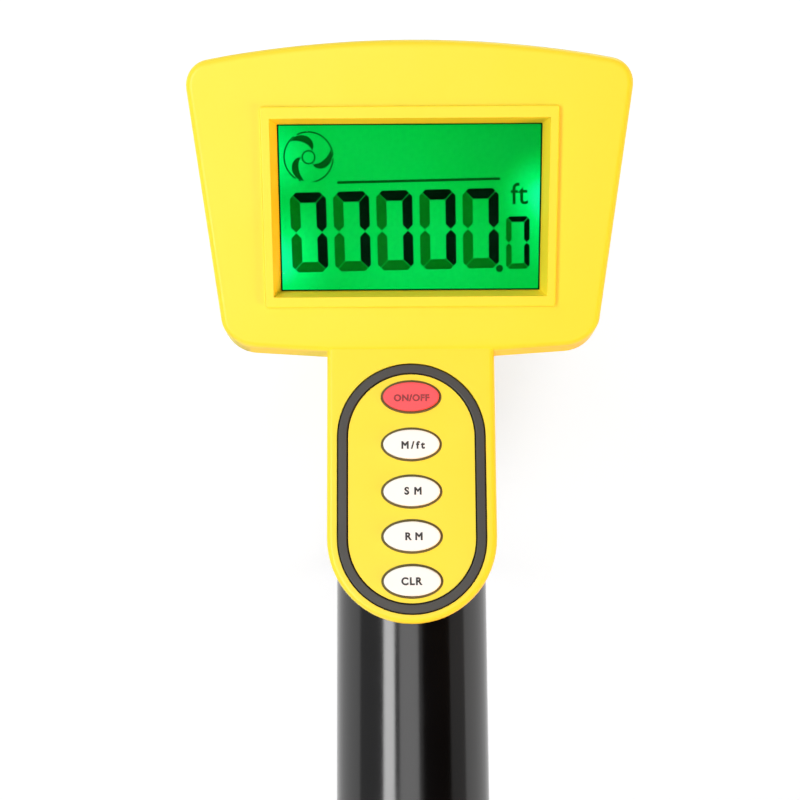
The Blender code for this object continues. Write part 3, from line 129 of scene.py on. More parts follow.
# Keypad tongue, as in the CAD model
TONGUE_HALF_WIDTH = 0.0185
TONGUE_LENGTH = 0.0594
TONGUE_FACE_DEPTH = 0.0063
TONGUE_OVERLAP = 0.003
TONGUE_EDGE_ROUNDING = 0.0013
TONGUE_WALL = 0.0024
TONGUE_CAVITY_INSET = 0.0022
TONGUE_CAVITY_HIGH = 0.003
RING_HALF_WIDTH = 0.0160
RING_LOW = 0.0572
RING_HIGH = 0.0030
RING_WIDTH = 0.0019
RING_SINK = 0.0008
RING_RISE = 0.00025
RING_ROUNDING = 0.0002
SEAT_GAP = 0.00005
# The collars round the keys carry olive painted shade, standing for the shade in the gaps round the keys.
COLLAR_LOW = -0.0012
COLLAR_HIGH = 0.00003
COLLAR_WIDTH = 0.00042
KEY_HALF_WIDTH = 0.00615
KEY_HALF_HEIGHT = 0.0032
KEY_GAP = 0.00055
KEY_SINK = 0.0028
KEY_RISE = 0.0008
KEY_ROUNDING = 0.0003
KEYS = (
    # name, distance below the crease, legend, letter size and spacing, legend's place off the key's centre
    ("power_key", 0.0102, "ON/OFF", 0.0020, 1.1, (0.0001, -0.0004)),
    ("unit_key", 0.0207, "M/ft", 0.0022, 1.45, (0.0003, -0.0003)),
    ("store_key", 0.0310, "S M", 0.0022, 1.2, (0.0003, 0.0)),
    ("recall_key", 0.0407, "R M", 0.0022, 1.1, (0.0004, -0.0001)),
    ("clear_key", 0.0503, "CLR", 0.0022, 1.2, (-0.0002, -0.0001)),
)
LEGEND_BOLD = 0.00009
LEGEND_THICKNESS = 0.00004


def rotation(axis, degrees):
    return Matrix.Rotation(radians(degrees), 4, axis)


def moved(steps):
    return Matrix.Translation(steps)


# Frames
WHEEL = moved((0, 0, WHEEL_RADIUS))
POLE = WHEEL @ rotation("X", POLE_LEAN_DEG)
ELBOW = POLE @ moved((0, 0, ELBOW_HEIGHT))
GRIP = ELBOW @ rotation("X", GRIP_BEND_DEG)
TONGUE = (
    GRIP
    @ moved((0, FACE_ABOVE_GRIP_AXIS, CREASE_ALONG_GRIP))
    @ rotation("X", -90)
)
DISPLAY = TONGUE @ rotation("X", DISPLAY_TILT_DEG)
ALONG_Z = Matrix.Identity(4)
ALONG_X = Matrix(((0, 0, 1, 0), (1, 0, 0, 0), (0, 1, 0, 0), (0, 0, 0, 1)))
ALONG_Y = Matrix(((1, 0, 0, 0), (0, 0, -1, 0), (0, 1, 0, 0), (0, 0, 0, 1)))

WORKBENCH = bpy.data.collections.new("workbench")
bpy.context.scene.collection.children.link(WORKBENCH)


def extent(node, place):
    """The lowest and highest corners of a CAD node, measured in a frame."""
    inverse = place.inverted()
    points = [inverse @ vertex.co for vertex in NODES[node].data.vertices]
    low = Vector([min(point[axis] for point in points) for axis in range(3)])
    high = Vector([max(point[axis] for point in points) for axis in range(3)])
    return low, high


# Outlines


def circle(radius, steps=ROUND_STEPS, centre=(0, 0)):
    turns = [2 * pi * step / steps for step in range(steps)]
    return [(centre[0] + radius * cos(turn), centre[1] + radius * sin(turn)) for turn in turns]


def ellipse(half_width, half_height, centre):
    return [(centre[0] + half_width * x, centre[1] + half_height * y) for x, y in circle(1, KEY_STEPS)]


def hull(*groups):
    """The outline round all the points of the groups."""
    points = [point for group in groups for point in group]
    return [points[index] for index in convex_hull_2d(points)]


def rounded(corners, steps=CORNER_STEPS):
    """An outline through (x, y, radius) corners, each with its arc."""
    outline = []
    for index, (x, y, radius) in enumerate(corners):
        if not radius:
            outline.append((x, y))
            continue
        here = Vector((x, y))
        before = (Vector(corners[index - 1][:2]) - here).normalized()
        after = (Vector(corners[(index + 1) % len(corners)][:2]) - here).normalized()
        half_angle = before.angle(after) / 2
        centre = here + (before + after).normalized() * radius / sin(half_angle)
        start = here + before * radius / tan(half_angle) - centre
        sweep = pi - 2 * half_angle
        if before.x * after.y - before.y * after.x > 0:
            sweep = -sweep
        for step in range(steps + 1):
            arm = start.copy()
            arm.rotate(Matrix.Rotation(sweep * step / steps, 2))
            outline.append(tuple(centre + arm))
    return outline


def rectangle(half_width, low, high, corner=0.0):
    corners = [(-half_width, low), (half_width, low), (half_width, high), (-half_width, high)]
    return rounded([(x, y, corner) for x, y in corners])


def half_turn(radius, middle, start_deg):
    count = ROUND_STEPS // 2
    turns = [radians(start_deg + 180 * step / count) for step in range(count + 1)]
    return [(radius * cos(turn), middle + radius * sin(turn)) for turn in turns]


def stadium(half_width, low, high):
    return half_turn(half_width, low + half_width, 180) + half_turn(half_width, high - half_width, 0)


def tongue_shape(half_width, low, high):
    return half_turn(half_width, low + half_width, 180) + [(half_width, high), (-half_width, high)]


LEAST_SINE = 0.2


def inset(polygon, distance):
    """A convex outline, counter-clockwise, with each edge moved inwards."""
    moved = []
    for index, point in enumerate(polygon):
        before, after = Vector(polygon[index - 1]), Vector(polygon[(index + 1) % len(polygon)])
        here = Vector(point)
        first, second = (here - before).normalized(), (after - here).normalized()
        bisector = (second - first).normalized()
        half_angle = (-first).angle(second) / 2
        moved.append(tuple(here + bisector * distance / max(sin(half_angle), LEAST_SINE)))
    return moved


# Shapes on the workbench


def put(mesh, place):
    """A mesh drawn in a frame becomes a workbench object in the model's frame."""
    mesh.transform(place)
    made = bpy.data.objects.new(mesh.name, mesh)
    WORKBENCH.objects.link(made)
    return made


def filled(mesh, shape):
    """The mesh, with a finished shape written into it."""
    shape.to_mesh(mesh)
    shape.free()
    return mesh


def mesh_of(name, shape):
    bmesh.ops.recalc_face_normals(shape, faces=shape.faces)
    return filled(bpy.data.meshes.new(name), shape)


def mesh_from_curve(name, curve):
    holder = bpy.data.objects.new(name, curve)
    WORKBENCH.objects.link(holder)
    graph = bpy.context.evaluated_depsgraph_get()
    mesh = bpy.data.meshes.new_from_object(holder.evaluated_get(graph))
    bpy.data.objects.remove(holder, do_unlink=True)
    shape = bmesh.new()
    shape.from_mesh(mesh)
    bmesh.ops.remove_doubles(shape, verts=shape.verts, dist=WELD_DISTANCE)
    bmesh.ops.dissolve_degenerate(shape, edges=shape.edges, dist=WELD_DISTANCE)
    mesh.name = name
    return filled(mesh, shape)


def add_line(curve, points, closed):
    spline = curve.splines.new("POLY")
    spline.points.add(len(points) - 1)
    for spot, point in zip(spline.points, points):
        spot.co = (*point, 1)
    spline.use_cyclic_u = closed


def slab(name, outlines, low, high, place, axis=ALONG_Z, rounding=0.0):
    """Flat outlines thickened between two heights, with rounded edges."""
    curve = bpy.data.curves.new(name, "CURVE")
    curve.dimensions = "2D"
    curve.fill_mode = "BOTH"
    curve.extrude = abs(high - low) / 2 - rounding
    curve.bevel_depth = rounding
    curve.offset = -rounding
    curve.bevel_resolution = EDGE_STEPS
    for outline in outlines:
        add_line(curve, [(x, y, 0) for x, y in outline], True)
    mesh = mesh_from_curve(name, curve)
    mesh.transform(axis @ moved((0, 0, (low + high) / 2)))
    return put(mesh, place)


def box(name, low, high, place):
    size, centre = Vector(high) - Vector(low), (Vector(high) + Vector(low)) / 2
    shape = bmesh.new()
    bmesh.ops.create_cube(shape, size=1, matrix=moved(centre) @ Matrix.Diagonal((*size, 1)))
    return put(mesh_of(name, shape), place)


def turned(name, profile, place, axis=ALONG_Z, steps=ROUND_STEPS, radius_at=None):
    """A closed profile of (radius, height) turned round an axis. A profile on the axis closes itself."""
    shape = bmesh.new()
    rows = []
    for step in range(steps):
        turn = 2 * pi * step / steps
        row = []
        for index, (radius, height) in enumerate(profile):
            reach = radius_at(radius, height, step) if radius_at else radius
            row.append(shape.verts.new((reach * cos(turn), reach * sin(turn), height)))
        rows.append(row)
    count = len(profile)
    for step in range(steps):
        near, far = rows[step], rows[(step + 1) % steps]
        for index in range(count):
            after = (index + 1) % count
            if profile[index][0] or profile[after][0]:
                shape.faces.new((near[index], near[after], far[after], far[index]))
    bmesh.ops.remove_doubles(shape, verts=shape.verts, dist=WELD_DISTANCE)
    mesh = mesh_of(name, shape)
    mesh.transform(axis)
    return put(mesh, place)


def pipe(name, route, radius, place):
    curve = bpy.data.curves.new(name, "CURVE")
    curve.dimensions = "3D"
    curve.bevel_depth = radius
    curve.bevel_resolution = PIPE_RESOLUTION
    curve.use_fill_caps = True
    add_line(curve, route, False)
    return put(mesh_from_curve(name, curve), place)


def loft(name, low_outline, low, high_outline, high, place):
    count = len(low_outline)
    points = [(x, y, low) for x, y in low_outline] + [(x, y, high) for x, y in high_outline]
    faces = [tuple(range(count))[::-1], tuple(range(count, 2 * count))]
    for step in range(count):
        after = (step + 1) % count
        faces.append((step, after, count + after, count + step))
    mesh = bpy.data.meshes.new(name)
    mesh.from_pydata(points, [], faces)
    return put(mesh, place)


def combine(made, operation, others):
    for other in others:
        modifier = made.modifiers.new(operation.lower(), "BOOLEAN")
        modifier.operation = operation
        modifier.solver = "EXACT"
        modifier.object = other
    return made


def cut(made, *others):
    return combine(made, "DIFFERENCE", others)


def join(made, *others):
    return combine(made, "UNION", others)


def soften(made, width, segments=3, angle_deg=40.0):
    modifier = made.modifiers.new("soften", "BEVEL")
    modifier.width = width
    modifier.segments = segments
    modifier.limit_method = "ANGLE"
    modifier.angle_limit = radians(angle_deg)
    modifier.use_clamp_overlap = True
    return made


def piece(made, name, node, finish=None):
    """Bakes a workbench object into the piece that stands for a CAD node."""
    result = bake(made, name, BODY_OF[node], finish or SLOT_FINISH[NODE_SLOT[node]])
    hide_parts(node)


def small_piece(made, name, body, finish):
    """Bakes a workbench object into a piece that has no CAD node."""
    bake(made, name, body, finish)


def bake(made, name, body, finish):
    """A piece of the tool that rides on a body, from a workbench object with all that was done to it."""
    graph = bpy.context.evaluated_depsgraph_get()
    mesh = bpy.data.meshes.new_from_object(made.evaluated_get(graph))
    mesh.name = name
    mesh.materials.clear()
    mesh.materials.append(finish)
    mesh.shade_smooth()
    mesh.set_sharp_from_angle(angle=radians(SMOOTH_DEG))
    result = in_scene(name, mesh)
    weighted = result.modifiers.new("weighted", "WEIGHTED_NORMAL")
    weighted.keep_sharp = True
    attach(result, body)
    return result


def in_scene(name, data, place=ALONG_Z):
    made = bpy.data.objects.new(name, data)
    made.matrix_world = place
    bpy.context.scene.collection.objects.link(made)
    return made


# Finishes


def srgb(red, green, blue):
    """A colour written from 0 to 255 as the linear one that a shader takes."""

    def linear(value):
        share = value / 255
        return share / 12.92 if share <= 0.04045 else ((share + 0.055) / 1.055) ** 2.4

    return (linear(red), linear(green), linear(blue), 1)


def darker(colour, share):
    return (colour[0] * share, colour[1] * share, colour[2] * share, 1)


def set_inputs(node, values):
    for socket, value in values.items():
        node.inputs[socket].default_value = value


def add_node(tree, kind, values=None, operation=None):
    """A shader node with its inputs set."""
    node = tree.nodes.new("ShaderNode" + kind)
    if operation:
        node.operation = operation
    set_inputs(node, values or {})
    return node


def map_range(tree, value, start, end, low, high, smooth=False):
    """A value carried from one range into another."""
    node = add_node(tree, "MapRange", {"From Min": start, "From Max": end, "To Min": low, "To Max": high})
    if smooth:
        node.interpolation_type = "SMOOTHSTEP"
    tree.links.new(value, node.inputs["Value"])
    return node.outputs["Result"]


def combined(tree, operation, first, second):
    node = add_node(tree, "Math", operation=operation)
    tree.links.new(first, node.inputs[0])
    tree.links.new(second, node.inputs[1])
    return node.outputs["Value"]


class Finish:
    """A material built up from a Principled shader and noise in the piece's own coordinates."""

    def __init__(self, name, colour, roughness, metallic=0.0, specular=0.5):
        self.made = bpy.data.materials.new(name)
        self.made.use_nodes = True
        self.tree = self.made.node_tree
        self.shader = self.tree.nodes["Principled BSDF"]
        look = {"Base Color": colour, "Roughness": roughness}
        set_inputs(self.shader, look | {"Metallic": metallic, "Specular IOR Level": specular})
        self.place = self.tree.nodes.new("ShaderNodeTexCoord").outputs["Object"]
        self.normal = None

    def link(self, start, node, socket):
        self.tree.links.new(start, node.inputs[socket])

    def stretched(self, scale):
        mapping = add_node(self.tree, "Mapping", {"Scale": scale})
        self.link(self.place, mapping, "Vector")
        return mapping.outputs["Vector"]

    def noise(self, size, detail=3.0, stretch=(1, 1, 1)):
        """Noise whose grains are about size metres across."""
        node = add_node(self.tree, "TexNoise", {"Scale": 1 / size, "Detail": detail})
        self.link(self.stretched(stretch), node, "Vector")
        return node.outputs["Fac"]

    def ramp(self, value, stops):
        node = add_node(self.tree, "ValToRGB")
        elements = node.color_ramp.elements
        elements[0].position, elements[0].color = stops[0]
        elements[1].position, elements[1].color = stops[-1]
        for position, colour in stops[1:-1]:
            elements.new(position).color = colour
        self.link(value, node, "Fac")
        return node.outputs["Color"]

    def spread(self, value, low, high, socket):
        """Feeds noise, most of which lies from 0.3 to 0.7, into a socket as low to high."""
        self.link(map_range(self.tree, value, *NOISE_RANGE, low, high), self.shader, socket)

    def mottle(self, colour, share, size, stretch=(1, 1, 1)):
        """Slow, faint differences in the colour."""
        self.shade(self.noise(size, 4.0, stretch), darker(colour, share), colour)

    def shade(self, noise, low, high, socket="Base Color"):
        """Feeds noise into a colour socket as a blend of two colours."""
        start, end = NOISE_RANGE
        self.link(self.ramp(noise, ((start, low), (end, high))), self.shader, socket)

    def bump(self, height, depth, strength=1.0):
        node = add_node(self.tree, "Bump", {"Strength": strength, "Distance": depth})
        self.link(height, node, "Height")
        if self.normal:
            self.link(self.normal, node, "Normal")
        self.normal = node.outputs["Normal"]
        self.link(self.normal, self.shader, "Normal")


NOISE_RANGE = (0.3, 0.7)


def moulded_plastic(name, colour, roughness, grain=0.0004, depth=0.000015, vary=0.93):
    """Moulded plastic with a fine spark-eroded grain and faint flow marks."""
    finish = Finish(name, colour, roughness)
    finish.mottle(colour, vary, 0.03)
    finish.spread(finish.noise(0.012), roughness - 0.05, roughness + 0.06, "Roughness")
    finish.bump(finish.noise(grain, 2.0), depth)
    finish.bump(finish.noise(0.02, 1.0), 0.00008, 0.3)
    return finish.made


def gloss_lacquer(name, colour):
    """Black gloss lacquer with a slight orange peel and a few fine rubbed marks."""
    finish = Finish(name, colour, 0.13, specular=0.78)
    finish.mottle(darker(colour, 1.6), 0.5, 0.04)
    finish.spread(finish.noise(0.018, 5.0), 0.11, 0.17, "Roughness")
    finish.bump(finish.noise(0.0025, 2.0), 0.000006, 0.5)
    return finish.made


def brushed_metal(name, colour, roughness, stretch, size=0.0006):
    """Metal with fine lines drawn along one direction."""
    finish = Finish(name, colour, roughness, 1.0)
    lines = finish.noise(size, 3.0, stretch)
    finish.shade(lines, darker(colour, 0.82), colour)
    finish.spread(lines, roughness - 0.07, roughness + 0.1, "Roughness")
    finish.bump(lines, 0.00001, 0.6)
    return finish.made


def plated_steel(name, colour, roughness):
    """Zinc-plated steel, cloudy from its bath."""
    finish = Finish(name, colour, roughness, 1.0)
    finish.mottle(colour, 0.8, 0.004)
    finish.spread(finish.noise(0.002, 5.0), roughness - 0.08, roughness + 0.12, "Roughness")
    finish.bump(finish.noise(0.0006, 3.0), 0.000008)
    return finish.made


def powder_coat(name, colour, roughness=0.5):
    """Powder coating, with its coarse orange peel."""
    finish = Finish(name, colour, roughness)
    finish.mottle(colour, 0.75, 0.02)
    finish.spread(finish.noise(0.01), roughness - 0.08, roughness + 0.08, "Roughness")
    finish.bump(finish.noise(0.0012, 2.0), 0.00004, 0.6)
    return finish.made


def soft_rubber(name, colour, roughness, dust=0.0, vary=0.85):
    """Moulded rubber with a matt grain and, on the tyre, pale dust in its hollows."""
    finish = Finish(name, colour, roughness, specular=0.35)
    dusty = tuple(min(1.0, channel + dust) for channel in colour[:3]) + (1,)
    stops = ((0.35, darker(colour, vary)), (0.5, colour), (0.75, dusty))
    finish.link(finish.ramp(finish.noise(0.009, 6.0), stops), finish.shader, "Base Color")
    finish.bump(finish.noise(0.0005, 3.0), 0.00002)
    return finish.made


def clear_pane():
    """A hard clear pane, faintly smeared."""
    finish = Finish("clear_pane", (1, 1, 1, 1), 0.0)
    set_inputs(finish.shader, {"Transmission Weight": 1.0, "IOR": 1.04, "Specular IOR Level": 0.2})
    finish.spread(finish.noise(0.02, 4.0), 0.0, 0.003, "Roughness")
    return finish.made


def backlight():
    """The lit display: green, paler by its lamps at both sides and darker at the top right."""
    finish = Finish("display_backlight", srgb(0, 40, 15), 0.6, specular=0.0)
    scaled = add_node(finish.tree, "Math", {1: 0.12, 2: 0.28}, "MULTIPLY_ADD")
    finish.link(finish.noise(0.03, 2.0), scaled, 0)
    level = scaled.outputs["Value"]
    for centre, size, strength in BACKLIGHT_SPOTS:
        spot = DISPLAY @ Vector((*centre, 0))
        distance = add_node(finish.tree, "VectorMath", {1: spot}, "DISTANCE")
        finish.link(finish.place, distance, 0)
        glow = map_range(finish.tree, distance.outputs["Value"], 0.0, size, strength, 0.0, smooth=True)
        level = combined(finish.tree, "ADD", level, glow)
    stops = [(position, srgb(*colour)) for position, colour in BACKLIGHT_COLOURS]
    finish.link(finish.ramp(level, stops), finish.shader, "Emission Color")
    finish.shader.inputs["Emission Strength"].default_value = BACKLIGHT_STRENGTH
    return finish.made


def display_mark(name, colour):
    """A dark segment of the display, through which a little of the green comes."""
    finish = Finish(name, darker(colour, 0.5), 0.6, specular=0.0)
    finish.shade(finish.noise(0.004, 2.0), darker(colour, 0.8), colour, "Emission Color")
    finish.shader.inputs["Emission Strength"].default_value = BACKLIGHT_STRENGTH
    return finish.made


def circuit_board():
    """Green solder mask over fine tracks."""
    finish = Finish("circuit_board", srgb(10, 90, 45), 0.35)
    colours = {"Color1": srgb(8, 82, 40), "Color2": srgb(12, 98, 50), "Mortar": srgb(30, 130, 70)}
    brick = add_node(finish.tree, "TexBrick", colours | {"Scale": 180})
    finish.link(finish.place, brick, "Vector")
    finish.link(brick.outputs["Color"], finish.shader, "Base Color")
    finish.bump(brick.outputs["Fac"], 0.00003)
    return finish.made


def cell_sleeve():
    """A printed sleeve: a dark body with a copper band at one end."""
    finish = Finish("cell_sleeve", srgb(30, 34, 40), 0.3, 0.6)
    axes = add_node(finish.tree, "SeparateXYZ")
    finish.link(finish.place, axes, "Vector")
    along = map_range(finish.tree, axes.outputs["X"], -0.02, 0.02, 0.0, 1.0)
    dark = ((0.0, srgb(30, 34, 40)), (0.7, srgb(32, 36, 44)))
    copper = ((0.72, srgb(176, 112, 62)), (1.0, srgb(190, 124, 72)))
    finish.link(finish.ramp(along, dark + copper), finish.shader, "Base Color")
    finish.spread(finish.noise(0.004), 0.22, 0.38, "Roughness")
    return finish.made


def printed_ink(name, colour):
    finish = Finish(name, colour, 0.55)
    finish.mottle(colour, 0.85, 0.0015)
    return finish.made


BACKLIGHT_STRENGTH = 1.0
BACKLIGHT_COLOURS = (
    # level, colour
    (0.0, (0, 150, 40)),
    (0.3, (0, 190, 55)),
    (0.5, (0, 214, 78)),
    (0.75, (0, 240, 100)),
    (1.0, (20, 255, 165)),
)
BACKLIGHT_SPOTS = (
    # centre on the display, reach, strength
    ((-0.030, 0.020), 0.016, 0.75),
    ((-0.030, 0.042), 0.012, 0.60),
    ((0.029, 0.034), 0.012, 0.95),
    ((0.030, 0.024), 0.010, 0.40),
    ((0.000, 0.014), 0.030, 0.12),
    ((0.026, 0.050), 0.030, -0.22),
)

WHEEL_YELLOW = moulded_plastic("wheel_yellow_plastic", srgb(250, 214, 40), 0.36, grain=0.0008, vary=0.95)
GLOSS_BLACK = gloss_lacquer("gloss_black", srgb(8, 8, 9))
# Olive painted shade for the collars round the keys: the colour of the yellow plastic in deep shade in the
# gaps.
OLIVE_PAINTED_SHADE = soft_rubber("olive_painted_shade", srgb(104, 92, 48), 0.6)
# Black rubber, used also as painted shade under the keypad ring, whose edges show as dark lines in the
# gaps.
BLACK_RUBBER_AND_GAP_SHADE = soft_rubber("black_rubber", srgb(32, 32, 33), 0.7)
RACE_STEEL = brushed_metal("race_steel", srgb(190, 192, 196), 0.22, (1, 8, 8))
SEGMENT_ON = display_mark("segment_on", srgb(0, 12, 2))
SEGMENT_DIM = display_mark("segment_dim", srgb(0, 84, 8))
SEGMENT_ICON = display_mark("segment_icon", srgb(0, 62, 10))
INK = printed_ink("black_ink", srgb(52, 50, 50))
RED_INK = printed_ink("red_ink", srgb(150, 62, 66))

SLOT_FINISH = {
    "yellow_plastic": moulded_plastic("yellow_plastic", srgb(252, 226, 50), 0.38, vary=0.985),
    "black_gloss": GLOSS_BLACK,
    "black_plastic": moulded_plastic("black_plastic", srgb(34, 34, 36), 0.45, vary=0.8),
    "grey_plastic": moulded_plastic("grey_plastic", srgb(64, 64, 62), 0.42, vary=0.9),
    "clear_window": clear_pane(),
    "display_green": backlight(),
    "circuit_board": circuit_board(),
    "white_rubber": soft_rubber("white_rubber", srgb(250, 250, 248), 0.42, vary=0.98),
    "red_rubber": soft_rubber("red_rubber", srgb(255, 90, 98), 0.4, vary=0.96),
    "black_rubber": BLACK_RUBBER_AND_GAP_SHADE,
    "tyre_rubber": soft_rubber("tyre_rubber", srgb(40, 39, 38), 0.75, dust=0.03),
    "steel": plated_steel("plated_steel", srgb(196, 198, 202), 0.3),
    "dark_steel": powder_coat("dark_powder_coat", srgb(44, 45, 48)),
    "black_painted_metal": GLOSS_BLACK,
    "aluminium": brushed_metal("brushed_aluminium", srgb(205, 208, 212), 0.3, (12, 12, 1)),
    "brass": brushed_metal("brass", srgb(205, 172, 98), 0.28, (1, 1, 10)),
    "cell_sleeve": cell_sleeve(),
    "red_painted_metal": powder_coat("red_lacquer", srgb(196, 30, 26), 0.35),
}


def finish_frame():
    """Every CAD node that stays in view takes the finish of its slot."""
    for node, slot in NODE_SLOT.items():
        materials = NODES[node].data.materials
        materials.clear()
        materials.append(SLOT_FINISH[slot])


finish_frame()


# Display head


def housing_outline(smaller=0.0):
    rise = HOUSING_TOP - HOUSING_TOP_DROP
    low, high = HOUSING_HALF_WIDTH_LOW - smaller, HOUSING_HALF_WIDTH_HIGH - smaller
    corners = [
        (-low, smaller, HOUSING_LOW_CORNER),
        (-TONGUE_HALF_WIDTH, smaller - HOUSING_LOW_DROP, 0),
        (TONGUE_HALF_WIDTH, smaller - HOUSING_LOW_DROP, 0),
        (low, smaller, HOUSING_LOW_CORNER),
        (high, rise - smaller, HOUSING_HIGH_CORNER),
    ]
    for step in range(HOUSING_TOP_STEPS + 1):
        across = HOUSING_ARCH_SHARE * (1 - 2 * step / HOUSING_TOP_STEPS)
        corners.append((across * high, HOUSING_TOP - smaller - HOUSING_TOP_DROP * across**2, 0))
    corners.append((-high, rise - smaller, HOUSING_HIGH_CORNER))
    return rounded(corners)


def ring_outlines(grow=0.0):
    shrink = RING_WIDTH + grow
    return [
        stadium(RING_HALF_WIDTH + grow, -RING_LOW - grow, grow - RING_HIGH),
        stadium(RING_HALF_WIDTH - shrink, shrink - RING_LOW, -RING_HIGH - shrink),
    ]


def key_outline(down, grow=0.0):
    return ellipse(KEY_HALF_WIDTH + grow, KEY_HALF_HEIGHT + grow, (0, -down))


LOWER_EDGE_DEPTH = 0.0034
LOWER_EDGE_REACH = 0.009
LOWER_EDGE_DRAFT = 0.0015
LOWER_EDGE_FOOT = 0.0004


def draft_lower_edge(mesh):
    """Slopes the edge of the housing below the display, so that it shows from above."""
    shape = bmesh.new()
    shape.from_mesh(mesh)
    bmesh.ops.transform(shape, matrix=DISPLAY.inverted(), verts=shape.verts)
    everything = shape.verts[:] + shape.edges[:] + shape.faces[:]
    seam = (0, 0, -LOWER_EDGE_DEPTH)
    bmesh.ops.bisect_plane(shape, geom=everything, dist=WELD_DISTANCE, plane_co=seam, plane_no=(0, 0, 1))
    for vertex in shape.verts:
        height = (vertex.co.z + LOWER_EDGE_DEPTH) / (LOWER_EDGE_DEPTH - FACE_EDGE_ROUNDING)
        height = min(max(height, 0.0), 1.0)
        near = min(max(1 - vertex.co.y / LOWER_EDGE_REACH, 0.0), 1.0)
        vertex.co.y += near**2 * (3 - 2 * near) * (LOWER_EDGE_DRAFT * height - LOWER_EDGE_FOOT)
    bmesh.ops.transform(shape, matrix=DISPLAY, verts=shape.verts)
    filled(mesh, shape)


def make_face():
    """The face shell: housing, keypad tongue and bezel in one moulding."""
    side, far, low = 2 * HOUSING_HALF_WIDTH_HIGH, 2 * HOUSING_TOP, -2 * FACE_SHELL_DEPTH
    edge = FACE_EDGE_ROUNDING
    shell = slab("face", [housing_outline()], low + CUT_OVERLAP, 0, DISPLAY, rounding=edge)
    draft_lower_edge(shell.data)
    cut(shell, box("face_trim", (-side, -far, 2 * low), (side, far, -FACE_SHELL_DEPTH), DISPLAY))
    outline = tongue_shape(TONGUE_HALF_WIDTH, -TONGUE_LENGTH, TONGUE_OVERLAP)
    edge = TONGUE_EDGE_ROUNDING
    tongue = slab("tongue", [outline], -TONGUE_FACE_DEPTH - CUT_OVERLAP, 0, TONGUE, rounding=edge)
    cut(tongue, box("tongue_trim", (-side, -far, low), (side, far, -TONGUE_FACE_DEPTH), TONGUE))
    join(shell, tongue)
    bezel = [rectangle(*BEZEL, BEZEL_CORNER)]
    join(shell, slab("bezel", bezel, -BEZEL_RISE, BEZEL_RISE, DISPLAY, rounding=BEZEL_ROUNDING))
    for index, cavity in enumerate(CAVITIES):
        cut(shell, slab(f"cavity_{index}", [rectangle(*cavity)], low, -FACE_WALL, DISPLAY))
    low_outline, high_outline = rectangle(*OPENING), rectangle(*RECESS)
    cut(shell, loft("recess", low_outline, -RECESS_DEPTH, high_outline, BEZEL_RISE + FIT_GAP, DISPLAY))
    cut(shell, slab("opening", [low_outline], -FACE_WALL - CUT_OVERLAP, CUT_OVERLAP, DISPLAY))
    low = -TONGUE_FACE_DEPTH - CUT_OVERLAP
    half = TONGUE_HALF_WIDTH - TONGUE_CAVITY_INSET
    cavity = tongue_shape(half, TONGUE_CAVITY_INSET - TONGUE_LENGTH, -TONGUE_CAVITY_HIGH)
    cut(shell, slab("keypad_cavity", [cavity], low, -TONGUE_WALL, TONGUE))
    cut(shell, slab("groove", ring_outlines(FIT_GAP), -RING_SINK - FIT_GAP, CUT_OVERLAP, TONGUE))
    for name, down, *_ in KEYS:
        cut(shell, slab("hole_" + name, [key_outline(down, KEY_GAP)], low, CUT_OVERLAP, TONGUE))
    piece(shell, "face_moulding", "face_shell")


def make_keypad():
    ring = slab("ring", ring_outlines(), -RING_SINK, RING_RISE, TONGUE, rounding=RING_ROUNDING)
    piece(ring, "keypad_trim", "keypad_ring")
    # A black layer under the ring: painted shade, showing as dark lines in the gaps beside the ring.
    groove = [outline[:] for outline in ring_outlines(FIT_GAP - SEAT_GAP)]
    seat = slab("seat", groove, -RING_SINK - FIT_GAP + SEAT_GAP, -RING_SINK - SEAT_GAP, TONGUE)
    small_piece(seat, "keypad_trim_shade_seat", "handle", BLACK_RUBBER_AND_GAP_SHADE)
    for name, down, legend, size, spacing, aside in KEYS:
        key = slab("cap_" + name, [key_outline(down)], -KEY_SINK, KEY_RISE, TONGUE, rounding=KEY_ROUNDING)
        piece(key, name + "_cap", name)
        outer = KEY_GAP - SEAT_GAP
        outlines = [key_outline(down, outer), key_outline(down, outer - COLLAR_WIDTH)]
        # The collar is olive painted shade, standing for the shade in the gap round the key.
        collar = slab("collar_" + name, outlines, COLLAR_LOW, COLLAR_HIGH, TONGUE)
        small_piece(collar, name + "_collar", "handle", OLIVE_PAINTED_SHADE)
        spot = (aside[0], aside[1] - down, KEY_RISE)
        words = lettering("words_" + name, legend, size, LEGEND_BOLD, TONGUE, spot, spacing)
        ink, slot = (RED_INK, "red_painted_metal") if name == "power_key" else (INK, "black_plastic")
        small_piece(words, name + "_legend", BODY_OF[name], ink)


def lettering(name, words, size, bold, place, spot, spacing=1.0):
    """Flat letters, centred on a spot of a frame."""
    text = bpy.data.curves.new(name, "FONT")
    text.body = words
    text.size = size
    text.bevel_depth = bold
    text.bevel_resolution = 0
    text.space_character = spacing
    text.extrude = LEGEND_THICKNESS / 2
    text.align_x = "CENTER"
    text.align_y = "CENTER"
    mesh = mesh_from_curve(name, text)
    mesh.transform(moved(Vector(spot)))
    return put(mesh, place)


